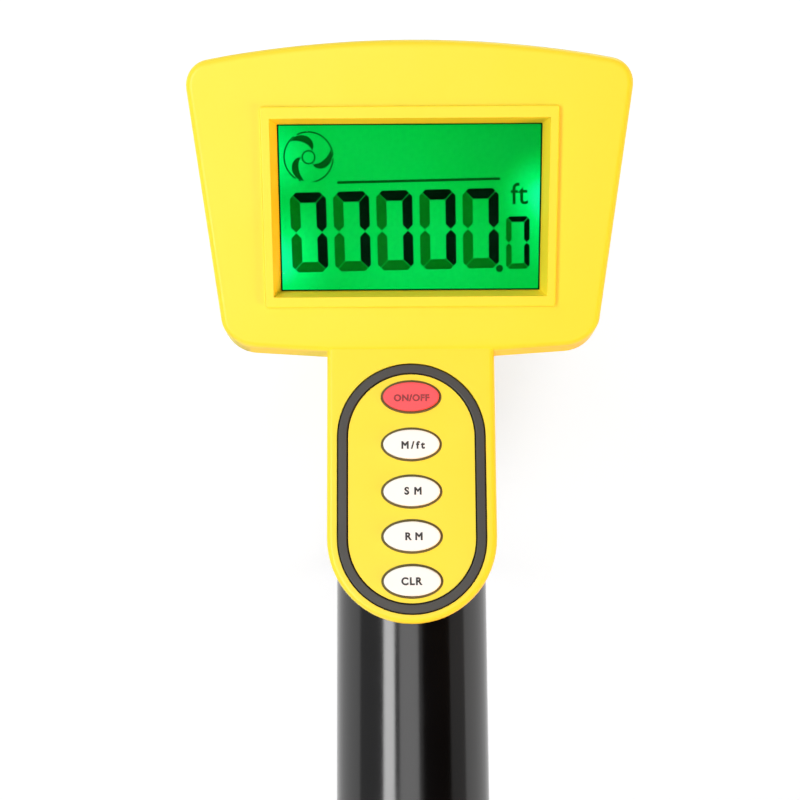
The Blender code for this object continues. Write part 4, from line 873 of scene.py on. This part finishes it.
# Display marks. Places are on the display, before its art is turned a little in its window.
MARK_DEPTH = -0.00372
MARK_THICKNESS = 0.00004
ART_TURN_DEG = 1.0
ART_SHIFT = (-0.0003, -0.00028, 0)
ART_STRETCH = (1.007, 1.022, 1, 1)
ART_CENTRE = (0.0, 0.03115)
DIGIT_LEFT = -0.02568
DIGIT_PITCH = 0.00933
DIGIT_COUNT = 5
DIGIT_LOW = 0.01804
DIGIT_SIZE = (0.00792, 0.01716)
DIGIT_STROKE = 0.0023
SMALL_DIGIT_PLACE = (0.02102, 0.01774)
SMALL_DIGIT_SIZE = (0.00521, 0.01136)
SMALL_DIGIT_STROKE = 0.0013
SEGMENT_GAP = 0.00005
CHAMFER_SHARE = 0.58
POINT_PLACE = (0.0196, 0.01795)
POINT_RADIUS = 0.00078
RULE = (-0.01525, 0.01984, 0.03680, 0.03735)
UNIT_PLACE = (0.02395, 0.0336, 0)
UNIT_SIZE = 0.0064
UNIT_BOLD = 0.00003
ICON_PLACE = (-0.02122, 0.0425)
ICON_RADIUS = 0.0054
ICON_LINE = 0.0003
ICON_HUB_RADIUS = 0.0015
ICON_GAP_DEG = 4.0
ICON_BLADE_STEPS = 12
ICON_BLADE_SWEEP_DEG = 78.0
ICON_BLADE_WIDTH = 0.00175
ICON_BLADES = 3
ICON_BLADE_START_DEG = 60.0
ICON_BLADE_NEAR = 1.25
ICON_BLADE_FAR = 0.88
ICON_BLADE_CURVE = 0.8
ICON_BLADE_TIP = 0.12

ART = (
    DISPLAY
    @ moved((*ART_CENTRE, MARK_DEPTH))
    @ moved(ART_SHIFT)
    @ rotation("Z", ART_TURN_DEG)
    @ Matrix.Diagonal(ART_STRETCH)
    @ moved((-ART_CENTRE[0], -ART_CENTRE[1], 0))
)


def zero_segments(left, low, size, stroke):
    """The six segments of a figure nought, as on ones (top and right) and dim ones (left and bottom)."""
    wide, tall = size
    chamfer = stroke * CHAMFER_SHARE
    half = tall / 2
    top = [
        (chamfer, tall),
        (chamfer / 2, tall - chamfer / 2),
        (stroke, tall - stroke),
        (wide - stroke, tall - stroke),
        (wide - chamfer / 2, tall - chamfer / 2),
        (wide - chamfer, tall),
    ]
    upper_left = [
        (0, tall - chamfer),
        (0, half + stroke / 2),
        (stroke / 2, half),
        (stroke, half + stroke / 2),
        (stroke, tall - stroke),
        (chamfer / 2, tall - chamfer / 2),
    ]

    def across(outline):
        return [(wide - x, y) for x, y in outline[::-1]]

    def down(outline):
        return [(x, tall - y) for x, y in outline[::-1]]

    def placed(outlines):
        return [[(left + x, low + y) for x, y in inset(outline, SEGMENT_GAP)] for outline in outlines]

    upper_right = across(upper_left)
    on = placed([top, upper_right, down(upper_right)])
    dim = placed([down(top), upper_left, down(upper_left)])
    return on, dim


def icon_outlines():
    """A wheel pictogram: a broken rim, a hub ring and three curved blades."""
    outlines = []
    centre = Vector(ICON_PLACE)
    third = 360 / ICON_BLADES
    for index in range(ICON_BLADES):
        start = index * third + ICON_GAP_DEG
        stop = (index + 1) * third - ICON_GAP_DEG
        outer, inner = [], []
        for step in range(ROUND_STEPS // 2 + 1):
            turn = radians(start + (stop - start) * step / (ROUND_STEPS // 2))
            arm = Vector((cos(turn), sin(turn)))
            outer.append(tuple(centre + arm * ICON_RADIUS))
            inner.append(tuple(centre + arm * (ICON_RADIUS - ICON_LINE)))
        outlines.append(outer + inner[::-1])
        outlines.append(blade_outline(centre, index * third + ICON_BLADE_START_DEG))
    return outlines


def blade_outline(centre, start_deg):
    """A tapered blade that curves from the hub to the rim."""
    near, far = [], []
    reach = ICON_RADIUS * ICON_BLADE_FAR - ICON_HUB_RADIUS
    for step in range(ICON_BLADE_STEPS + 1):
        share = step / ICON_BLADE_STEPS
        turn = radians(start_deg + ICON_BLADE_SWEEP_DEG * share)
        radius = ICON_HUB_RADIUS * ICON_BLADE_NEAR + reach * share**ICON_BLADE_CURVE
        swell = sin(pi * (ICON_BLADE_TIP + (1 - ICON_BLADE_TIP) * share))
        width = ICON_BLADE_WIDTH * swell**ICON_BLADE_CURVE / 2
        arm = Vector((cos(turn), sin(turn)))
        near.append(tuple(centre + arm * (radius - width)))
        far.append(tuple(centre + arm * (radius + width)))
    return far + near[::-1][1:]


def make_display_marks():
    on, dim = [], []
    for index in range(DIGIT_COUNT):
        digit = zero_segments(DIGIT_LEFT + DIGIT_PITCH * index, DIGIT_LOW, DIGIT_SIZE, DIGIT_STROKE)
        on += digit[0]
        dim += digit[1]
    digit = zero_segments(*SMALL_DIGIT_PLACE, SMALL_DIGIT_SIZE, SMALL_DIGIT_STROKE)
    on += digit[0]
    dim += digit[1]
    left, right, low, high = RULE
    small = icon_outlines()
    small.append([(left, low), (right, low), (right, high), (left, high)])
    small.append(circle(POINT_RADIUS, centre=POINT_PLACE))
    rings = [circle(radius, centre=ICON_PLACE) for radius in (ICON_HUB_RADIUS, ICON_HUB_RADIUS - ICON_LINE)]
    groups = (
        ("on_segments", on, SEGMENT_ON),
        ("dim_segments", dim, SEGMENT_DIM),
        ("small_marks", small, SEGMENT_ICON),
        ("hub_mark", rings, SEGMENT_ICON),
    )
    for name, outlines, finish in groups:
        small_piece(slab("flat_" + name, outlines, 0, MARK_THICKNESS, ART), name, "handle", finish)
    unit = lettering("flat_unit", "ft", UNIT_SIZE, UNIT_BOLD, ART, UNIT_PLACE)
    small_piece(unit, "unit_mark", "handle", SEGMENT_ICON)


GASKET_LOW = -0.0034
GASKET_HIGH = -0.0021


def make_gasket():
    """The dark line round the pane."""
    half, low, high = OPENING
    outlines = []
    for inwards in (SEAT_GAP, FIT_GAP - SEAT_GAP):
        outlines.append(rectangle(half - inwards, low + inwards, high - inwards))
    gasket = slab("gasket", outlines, GASKET_LOW, GASKET_HIGH, DISPLAY)
    small_piece(gasket, "pane_gasket", "handle", SEGMENT_ON)


make_face()
make_gasket()
make_keypad()
make_display_marks()


# Handle and back of the head


TUBE_RADIUS = 0.0175
TUBE_WALL = 0.00315
TUBE_EASE = 0.0004
TUBE_EASE_DEG = 60.0


def tube_route(longer=0.0):
    bottom = extent("handle_tube", POLE)[0].z
    reach = extent("handle_tube", GRIP)[1].z
    start = ELBOW_HEIGHT - BEND_RADIUS * tan(radians(GRIP_BEND_DEG / 2))
    route = [(0, 0, bottom - longer)]
    for step in range(BEND_STEPS + 1):
        turn = radians(GRIP_BEND_DEG * step / BEND_STEPS)
        route.append((0, BEND_RADIUS * (cos(turn) - 1), start + BEND_RADIUS * sin(turn)))
    turn = radians(GRIP_BEND_DEG)
    end = reach + longer
    route.append((0, -end * sin(turn), ELBOW_HEIGHT + end * cos(turn)))
    return route


def make_tube():
    tube = pipe("tube", tube_route(), TUBE_RADIUS, POLE)
    cut(tube, pipe("tube_bore", tube_route(CUT_OVERLAP), TUBE_RADIUS - TUBE_WALL, POLE))
    piece(soften(tube, TUBE_EASE, 2, TUBE_EASE_DEG), "handle_grip_tube", "handle_tube")


def make_back():
    outline = housing_outline()
    shell = slab("back", [outline], -BACK_SHELL_DEPTH, 2 * BACK_ROUNDING, DISPLAY, rounding=BACK_ROUNDING)
    side, far, seam = 2 * HOUSING_HALF_WIDTH_HIGH, 2 * HOUSING_TOP, -FACE_SHELL_DEPTH - FIT_GAP
    cut(shell, box("back_trim", (-side, -far, seam), (side, far, 4 * BACK_ROUNDING), DISPLAY))
    floor = BACK_FLOOR - BACK_SHELL_DEPTH
    for index, cavity in enumerate(BACK_CAVITIES):
        cut(shell, slab(f"back_cavity_{index}", [rectangle(*cavity)], floor, 0, DISPLAY))
    low = -BACK_SHELL_DEPTH - CUT_OVERLAP
    cut(shell, slab("bay", [rectangle(*BAY, BAY_CORNER)], low, 0, DISPLAY))
    cut(shell, cover_shape("cover_slot", FIT_GAP, HOUSING_TOP + CUT_OVERLAP, CUT_OVERLAP))
    cut(shell, pipe("back_tube", tube_route(CUT_OVERLAP), TUBE_RADIUS + FIT_GAP, POLE))
    seat = CASE_SCREW_SINK - BACK_SHELL_DEPTH
    for index, (x, y) in enumerate(CASE_SCREWS):
        sink = [circle(CASE_SCREW_SINK_RADIUS, SMALL_ROUND_STEPS, (x, y))]
        cut(shell, slab(f"sink_{index}", sink, low, seat, DISPLAY))
    piece(shell, "back_moulding", "back_shell")


def cover_shape(name, grow, end, deeper=0.0):
    slope = COVER_DOVETAIL / COVER_THICKNESS
    low, high = -BACK_SHELL_DEPTH - deeper, -BACK_SHELL_DEPTH + COVER_THICKNESS + grow
    wide = COVER_HALF_WIDTH + grow
    narrow = wide - slope * (high - low)
    section = [(-narrow, low), (narrow, low), (wide, high), (-wide, high)]
    return slab(name, [section], -end, -(COVER_LOW - grow), DISPLAY, ALONG_Y)


make_tube()
make_back()


# Wheel and tyre
TREAD_STEPS = 288
TREAD_PERIOD = 6
TREAD_CUT_STEPS = 2
TREAD_DEPTH = 0.0011
TREAD_BLOCK_START = 0.0062
TYRE_PROFILE = (
    # radius below the tread, distance from the middle
    (0.01285, 0.0142),
    (0.0105, 0.0149),
    (0.00715, 0.0160),
    (0.0044, 0.01585),
    (0.0022, 0.0148),
    (0.0009, 0.0134),
    (0.0003, 0.0126),
    (0.0000, 0.0118),
    (0.0000, 0.0062),
    (0.0010, 0.0059),
    (0.0010, 0.0049),
    (0.0000, 0.0046),
    (0.0000, 0.0015),
    (0.0009, 0.0012),
)
RIM_RADIUS = 0.146
RIM_INNER_RADIUS = 0.134
RIM_HALF_WIDTH = 0.013
WEB_HALF_THICKNESS = 0.004
HUB_RADIUS = 0.025
HUB_HALF_WIDTH = 0.015
RACE_SEAT_RADIUS = 0.0123
RACE_SEAT_DEPTH = 0.0089
HUB_BORE = 0.0105
WINDOW_COUNT = 6
WINDOW_ENDS = (
    # distance of the corner circles from the axle, their turn to each side, their radius
    (0.109, 18.0, 0.008),
    (0.047, 7.0, 0.006),
)
HUB_FLARE = 0.003
RIM_SLOPE = 0.004
RIB_OVERLAP = 0.002
RIB_ROUNDING = 0.0006
RIB_HALF_THICKNESS = 0.0058
RIB_HALF_WIDTH = 0.0022


def both_sides(half):
    return list(half) + [(radius, -side) for radius, side in reversed(half)]


def tread_radius(radius, side, step):
    """Cross grooves at the shoulders of the tyre."""
    in_groove = step % TREAD_PERIOD < TREAD_CUT_STEPS
    on_shoulder = abs(side) > TREAD_BLOCK_START and radius > WHEEL_RADIUS - TREAD_DEPTH
    return WHEEL_RADIUS - TREAD_DEPTH if in_groove and on_shoulder else radius


def make_tyre():
    profile = both_sides([(WHEEL_RADIUS - drop, side) for drop, side in TYRE_PROFILE])
    tyre = turned("tyre_body", profile, WHEEL, ALONG_X, TREAD_STEPS, tread_radius)
    piece(tyre, "treaded_tyre", "tyre")


def window_outline(turn_deg):
    groups = []
    for radius, half_deg, corner in WINDOW_ENDS:
        for side in (-1, 1):
            turn = radians(turn_deg + side * half_deg)
            centre = (radius * cos(turn), radius * sin(turn))
            groups.append(circle(corner, SMALL_ROUND_STEPS, centre))
    return hull(*groups)


def make_wheel():
    seat = HUB_HALF_WIDTH - RACE_SEAT_DEPTH
    corners = [
        # radius, distance from the middle, rounding
        (HUB_BORE, seat, 0),
        (RACE_SEAT_RADIUS, seat, 0),
        (RACE_SEAT_RADIUS, HUB_HALF_WIDTH, 0.0004),
        (HUB_RADIUS, HUB_HALF_WIDTH, 0.001),
        (HUB_RADIUS + HUB_FLARE, WEB_HALF_THICKNESS, 0.002),
        (RIM_INNER_RADIUS - RIM_SLOPE, WEB_HALF_THICKNESS, 0.003),
        (RIM_INNER_RADIUS, RIM_HALF_WIDTH, 0.0012),
        (RIM_RADIUS, RIM_HALF_WIDTH, 0.0008),
    ]
    corners += [(radius, -side, corner) for radius, side, corner in reversed(corners)]
    disc = turned("disc", rounded(corners, SMALL_CORNER_STEPS), WHEEL, ALONG_X, WHEEL_STEPS)
    reach = WEB_HALF_THICKNESS + CUT_OVERLAP
    for index in range(WINDOW_COUNT):
        outline = window_outline(360 * index / WINDOW_COUNT)
        cut(disc, slab(f"window_{index}", [outline], -reach, reach, WHEEL, ALONG_X))
    for index in range(WINDOW_COUNT):
        place = WHEEL @ rotation("X", 360 * index / WINDOW_COUNT)
        outline = rectangle(RIB_HALF_WIDTH, HUB_RADIUS - RIB_OVERLAP, RIM_INNER_RADIUS + RIB_OVERLAP)
        half, edge = RIB_HALF_THICKNESS, RIB_ROUNDING
        join(disc, slab(f"rib_{index}", [outline], -half, half, place, ALONG_X, rounding=edge))
    piece(disc, "spoked_wheel", "wheel_disc", WHEEL_YELLOW)


make_tyre()
make_wheel()


# Round pieces read from their CAD nodes
LOWER_POLE_BORE = 0.0144
UPPER_POLE_BORE = 0.0124
AXLE_BORE = 0.0053
OUTER_RACE_BORE = 0.0094
POLE_EASE = 0.0004
RACE_EASE = 0.0003
AXLE_EASE = 0.0006


def ring_piece(node, name, place, axis, bore, edge, finish=None):
    """A turned tube or rod with eased edges, as large as its node."""
    low, high = extent(node, place @ axis)
    corners = [(bore, low.z, edge), (high.x, low.z, edge), (high.x, high.z, edge), (bore, high.z, edge)]
    if not bore:
        corners[0], corners[-1] = (0, low.z, 0), (0, high.z, 0)
    profile = rounded(corners, RING_EDGE_STEPS)
    piece(turned("round_" + name, profile, place, axis), name, node, finish)


ring_piece("lower_pole", "lower_pole_tube", POLE, ALONG_Z, LOWER_POLE_BORE, POLE_EASE)
ring_piece("upper_pole", "upper_pole_tube", POLE, ALONG_Z, UPPER_POLE_BORE, POLE_EASE)
for word in ("left", "right"):
    spacer = ("axle_spacer_" + word, "spacer_" + word)
    inner = ("bearing_inner_" + word, "inner_race_" + word)
    outer = ("bearing_outer_" + word, "outer_race_" + word)
    ring_piece(*spacer, POLE, ALONG_X, AXLE_BORE, RACE_EASE)
    ring_piece(*inner, POLE, ALONG_X, AXLE_BORE, RACE_EASE, RACE_STEEL)
    ring_piece(*outer, WHEEL, ALONG_X, OUTER_RACE_BORE, RACE_EASE, RACE_STEEL)
ring_piece("axle", "axle_rod", POLE, ALONG_X, 0, AXLE_EASE)


# Pieces that keep their CAD shape, with their edges eased

EASED = (
    # width of the easing, nodes
    (0.0007, "clamp_collar", "clamp_lever"),
    (0.0003, "clamp_pad", "clamp_pin"),
    (0.0011, "fork_crown"),
    (0.0008, "fork_leg_left", "fork_leg_right"),
    (0.0004, "crown_bolt_left", "crown_bolt_right", "axle_nut_left", "axle_nut_right"),
    (0.0007, "sensor_housing"),
    (0.0003, "sensor_screw"),
    (0.0004, "magnet_ring"),
    (0.0003, "start_pointer"),
    (0.0006, "stand_leg_left", "stand_leg_right"),
    (0.0004, "stand_crossbar"),
    (0.0012, "stand_foot_left", "stand_foot_right"),
    (0.0004, "stand_pivot_left", "stand_pivot_right"),
    (0.0012, "grip_end_cap"),
    (0.0014, "tongue_base"),
    (0.0005, "battery_cover"),
    (0.0003, "handle_screw"),
    (0.0002, "case_screw_1", "case_screw_2", "case_screw_3", "case_screw_4"),
    (0.0005, "battery_1", "battery_2", "battery_3"),
    (0.0001, "battery_contact_left", "battery_contact_right"),
)
CROSS_HALF_LENGTH = 0.0013
CROSS_HALF_WIDTH = 0.00028
CROSS_DEPTH = 0.0009


FLAT_DEG = 0.5


def flattened(node):
    """A copy of a node's mesh, with the triangles of each flat face joined into one."""
    shape = bmesh.new()
    shape.from_mesh(NODES[node].data)
    bmesh.ops.remove_doubles(shape, verts=shape.verts, dist=WELD_DISTANCE)
    flat = radians(FLAT_DEG)
    bmesh.ops.dissolve_limit(shape, angle_limit=flat, verts=shape.verts, edges=shape.edges)
    return put(mesh_of("eased_" + node, shape), Matrix.Identity(4))


def ease_nodes():
    for width, *nodes in EASED:
        for node in nodes:
            made = flattened(node)
            if node.startswith("case_screw"):
                cut_cross(made, node)
            piece(soften(made, width, 2), node + "_eased", node)


def cut_cross(made, node):
    """The cross recess of a screw that goes in from the back of the head."""
    low, high = extent(node, DISPLAY)
    middle = (low + high) / 2
    halves = (CROSS_HALF_LENGTH, CROSS_HALF_WIDTH)
    for half_x, half_y in (halves, halves[::-1]):
        near = (middle.x - half_x, middle.y - half_y, low.z - CROSS_DEPTH)
        far = (middle.x + half_x, middle.y + half_y, low.z + CROSS_DEPTH)
        cut(made, box(node + "_cross", near, far, DISPLAY))


ease_nodes()


# Floor, lamps and camera
CAMERA_LENS = 58.5
CAMERA_TILT_DEG = 9.5
CAMERA_ROLL_DEG = -0.35
CAMERA_PLACE = (-0.00243, -0.2775, 1.2395)
HEAD_CENTRE = Vector((0, -0.22, 0.96))


def stage_sheet(name, half_size, place):
    """A flat sheet of the studio and its node tree. It isn't part of the object."""
    shape = bmesh.new()
    bmesh.ops.create_grid(shape, x_segments=1, y_segments=1, size=half_size)
    mesh = filled(bpy.data.meshes.new(name), shape)
    material = bpy.data.materials.new(name)
    material.use_nodes = True
    mesh.materials.append(material)
    sheet = in_scene(name, mesh, place)
    return sheet, material.node_tree


def mixed(tree, share, first, second):
    node = add_node(tree, "MixShader")
    for index, source in enumerate((share, first, second)):
        tree.links.new(source, node.inputs[index])
    return node.outputs["Shader"]


def seen_directly(tree):
    """One for rays of the camera and rays by way of gloss or a pane, and zero for the others."""
    path = add_node(tree, "LightPath").outputs
    seen = combined(tree, "MAXIMUM", path["Is Camera Ray"], path["Is Glossy Ray"])
    return combined(tree, "MAXIMUM", seen, path["Is Transmission Ray"])


def make_floor():
    """A pale floor with the shadow of the object, which fades to plain white further out."""
    tree = stage_sheet("floor", FLOOR_SIZE / 2, moved((0, 0, -FLOOR_DROP)))[1]
    shader = tree.nodes["Principled BSDF"]
    set_inputs(shader, {"Base Color": FLOOR_COLOUR, "Roughness": 0.9, "Specular IOR Level": 0.1})
    plain = shader.outputs["BSDF"]
    lifted = add_node(tree, "AddShader")
    tree.links.new(plain, lifted.inputs[0])
    lift = add_node(tree, "Emission", {"Strength": FLOOR_LIFT})
    tree.links.new(lift.outputs["Emission"], lifted.inputs[1])
    distance = add_node(tree, "VectorMath", operation="LENGTH")
    tree.links.new(add_node(tree, "TexCoord").outputs["Object"], distance.inputs[0])
    fade = map_range(tree, distance.outputs["Value"], *FLOOR_FADE, 0.0, 1.0, smooth=True)
    white = add_node(tree, "Emission").outputs["Emission"]
    seen = mixed(tree, fade, lifted.outputs["Shader"], white)
    surface = mixed(tree, seen_directly(tree), plain, seen)
    tree.links.new(surface, tree.nodes["Material Output"].inputs["Surface"])


def make_world():
    """Even light from all round, and white where the camera, a gloss or a pane sees it."""
    world = bpy.data.worlds.new("studio")
    bpy.context.scene.world = world
    world.use_nodes = True
    tree = world.node_tree
    back = tree.nodes["Background"]
    back.inputs["Color"].default_value = (1, 1, 1, 1)
    strength = map_range(tree, seen_directly(tree), 0.0, 1.0, WORLD_LIGHT, 1.0)
    tree.links.new(strength, back.inputs["Strength"])


FLOOR_SIZE = 12.0
FLOOR_DROP = 0.0002
FLOOR_COLOUR = (0.82, 0.82, 0.83, 1)
FLOOR_LIFT = 0.50
FLOOR_FADE = (0.6, 1.5)
WORLD_LIGHT = 0.23
LAMPS = (
    # name, degrees right, degrees up, distance, width, height, radiance, whether gloss shows it
    ("key_strip", -35.5, -5.0, 1.0, 0.30, 1.0, 7.2, True),
    ("top_box", -5.0, -3.0, 1.15, 0.59, 1.05, 1.7, True),
    ("upper_left", -42.0, 52.0, 1.3, 0.8, 0.8, 1.3, False),
    ("warm_bounce", 72.0, -26.0, 0.9, 0.5, 0.5, 1.4, False),
)
SIDE_LAMPS = (
    # name, degrees round the object from its right, distance, height, size, radiance, in gloss or not
    ("side_right", 10.0, 1.8, 0.40, 0.8, 3.4, False),
    ("side_left", 170.0, 1.8, 0.40, 0.8, 3.4, False),
    ("side_back", 70.0, 1.8, 0.75, 1.0, 2.8, True),
    ("side_front", -110.0, 1.9, 0.40, 0.8, 2.0, True),
)
WARM_COLOUR = (1.0, 0.42, 0.08)
WARM_SPREAD_DEG = 50.0


def make_lamps():
    for name, right, up, distance, width, height, radiance, glossy in LAMPS:
        lamp = make_lamp(name, studio_place(right, up, distance), width, height, radiance, glossy)
        if name == "warm_bounce":
            lamp.data.color = WARM_COLOUR
            lamp.data.spread = radians(WARM_SPREAD_DEG)
    for name, turn, distance, height, size, radiance, glossy in SIDE_LAMPS:
        place = (
            rotation("Z", turn)
            @ moved((distance, 0, height))
            @ rotation("Y", 90)
        )
        make_lamp(name, place, size, size, radiance, glossy)


def make_lamp(name, place, width, height, radiance, glossy):
    light = bpy.data.lights.new(name, "AREA")
    light.shape = "RECTANGLE"
    light.size = width
    light.size_y = height
    light.energy = radiance * pi * width * height
    lamp = in_scene(name, light, place)
    lamp.visible_camera = False
    lamp.visible_glossy = glossy
    return lamp


def make_card(name, place, size, level):
    """A card that only gloss shows. It isn't part of the object, and it gives it no light."""
    card, tree = stage_sheet(name, 0.5, place @ Matrix.Diagonal((*size, 1, 1)))
    card.visible_camera = False
    card.visible_diffuse = False
    card.visible_transmission = False
    card.visible_shadow = False
    look = {"Base Color": (0, 0, 0, 1), "Specular IOR Level": 0.0, "Emission Color": (1, 1, 1, 1)}
    set_inputs(tree.nodes["Principled BSDF"], look | {"Emission Strength": level})


def studio_place(right, up, distance):
    """A place in the studio, turned from the camera's line and facing the display head."""
    return (
        moved(HEAD_CENTRE)
        @ rotation("X", CAMERA_TILT_DEG)
        @ rotation("Y", right)
        @ rotation("X", -up)
        @ moved((0, 0, distance))
    )


CARDS = (
    # name, degrees right, degrees up, distance, width and height, how bright gloss shows it
    ("dark_card", 37.0, 0.0, 1.2, (0.95, 1.2), 0.003),
    ("grey_card", 0.0, 0.0, 1.25, (30.0, 12.0), 0.33),
)


def make_camera():
    lens = bpy.data.cameras.new("camera")
    lens.lens = CAMERA_LENS
    lens.sensor_width = 36.0
    place = (
        moved(CAMERA_PLACE)
        @ rotation("X", CAMERA_TILT_DEG)
        @ rotation("Z", CAMERA_ROLL_DEG)
    )
    bpy.context.scene.camera = in_scene("camera", lens, place)


make_floor()
make_world()
make_lamps()
for card_name, right, up, distance, size, level in CARDS:
    make_card(card_name, studio_place(right, up, distance), size, level)
make_camera()
bpy.context.scene.view_settings.view_transform = "Standard"

for left_over in list(WORKBENCH.objects):
    bpy.data.objects.remove(left_over, do_unlink=True)
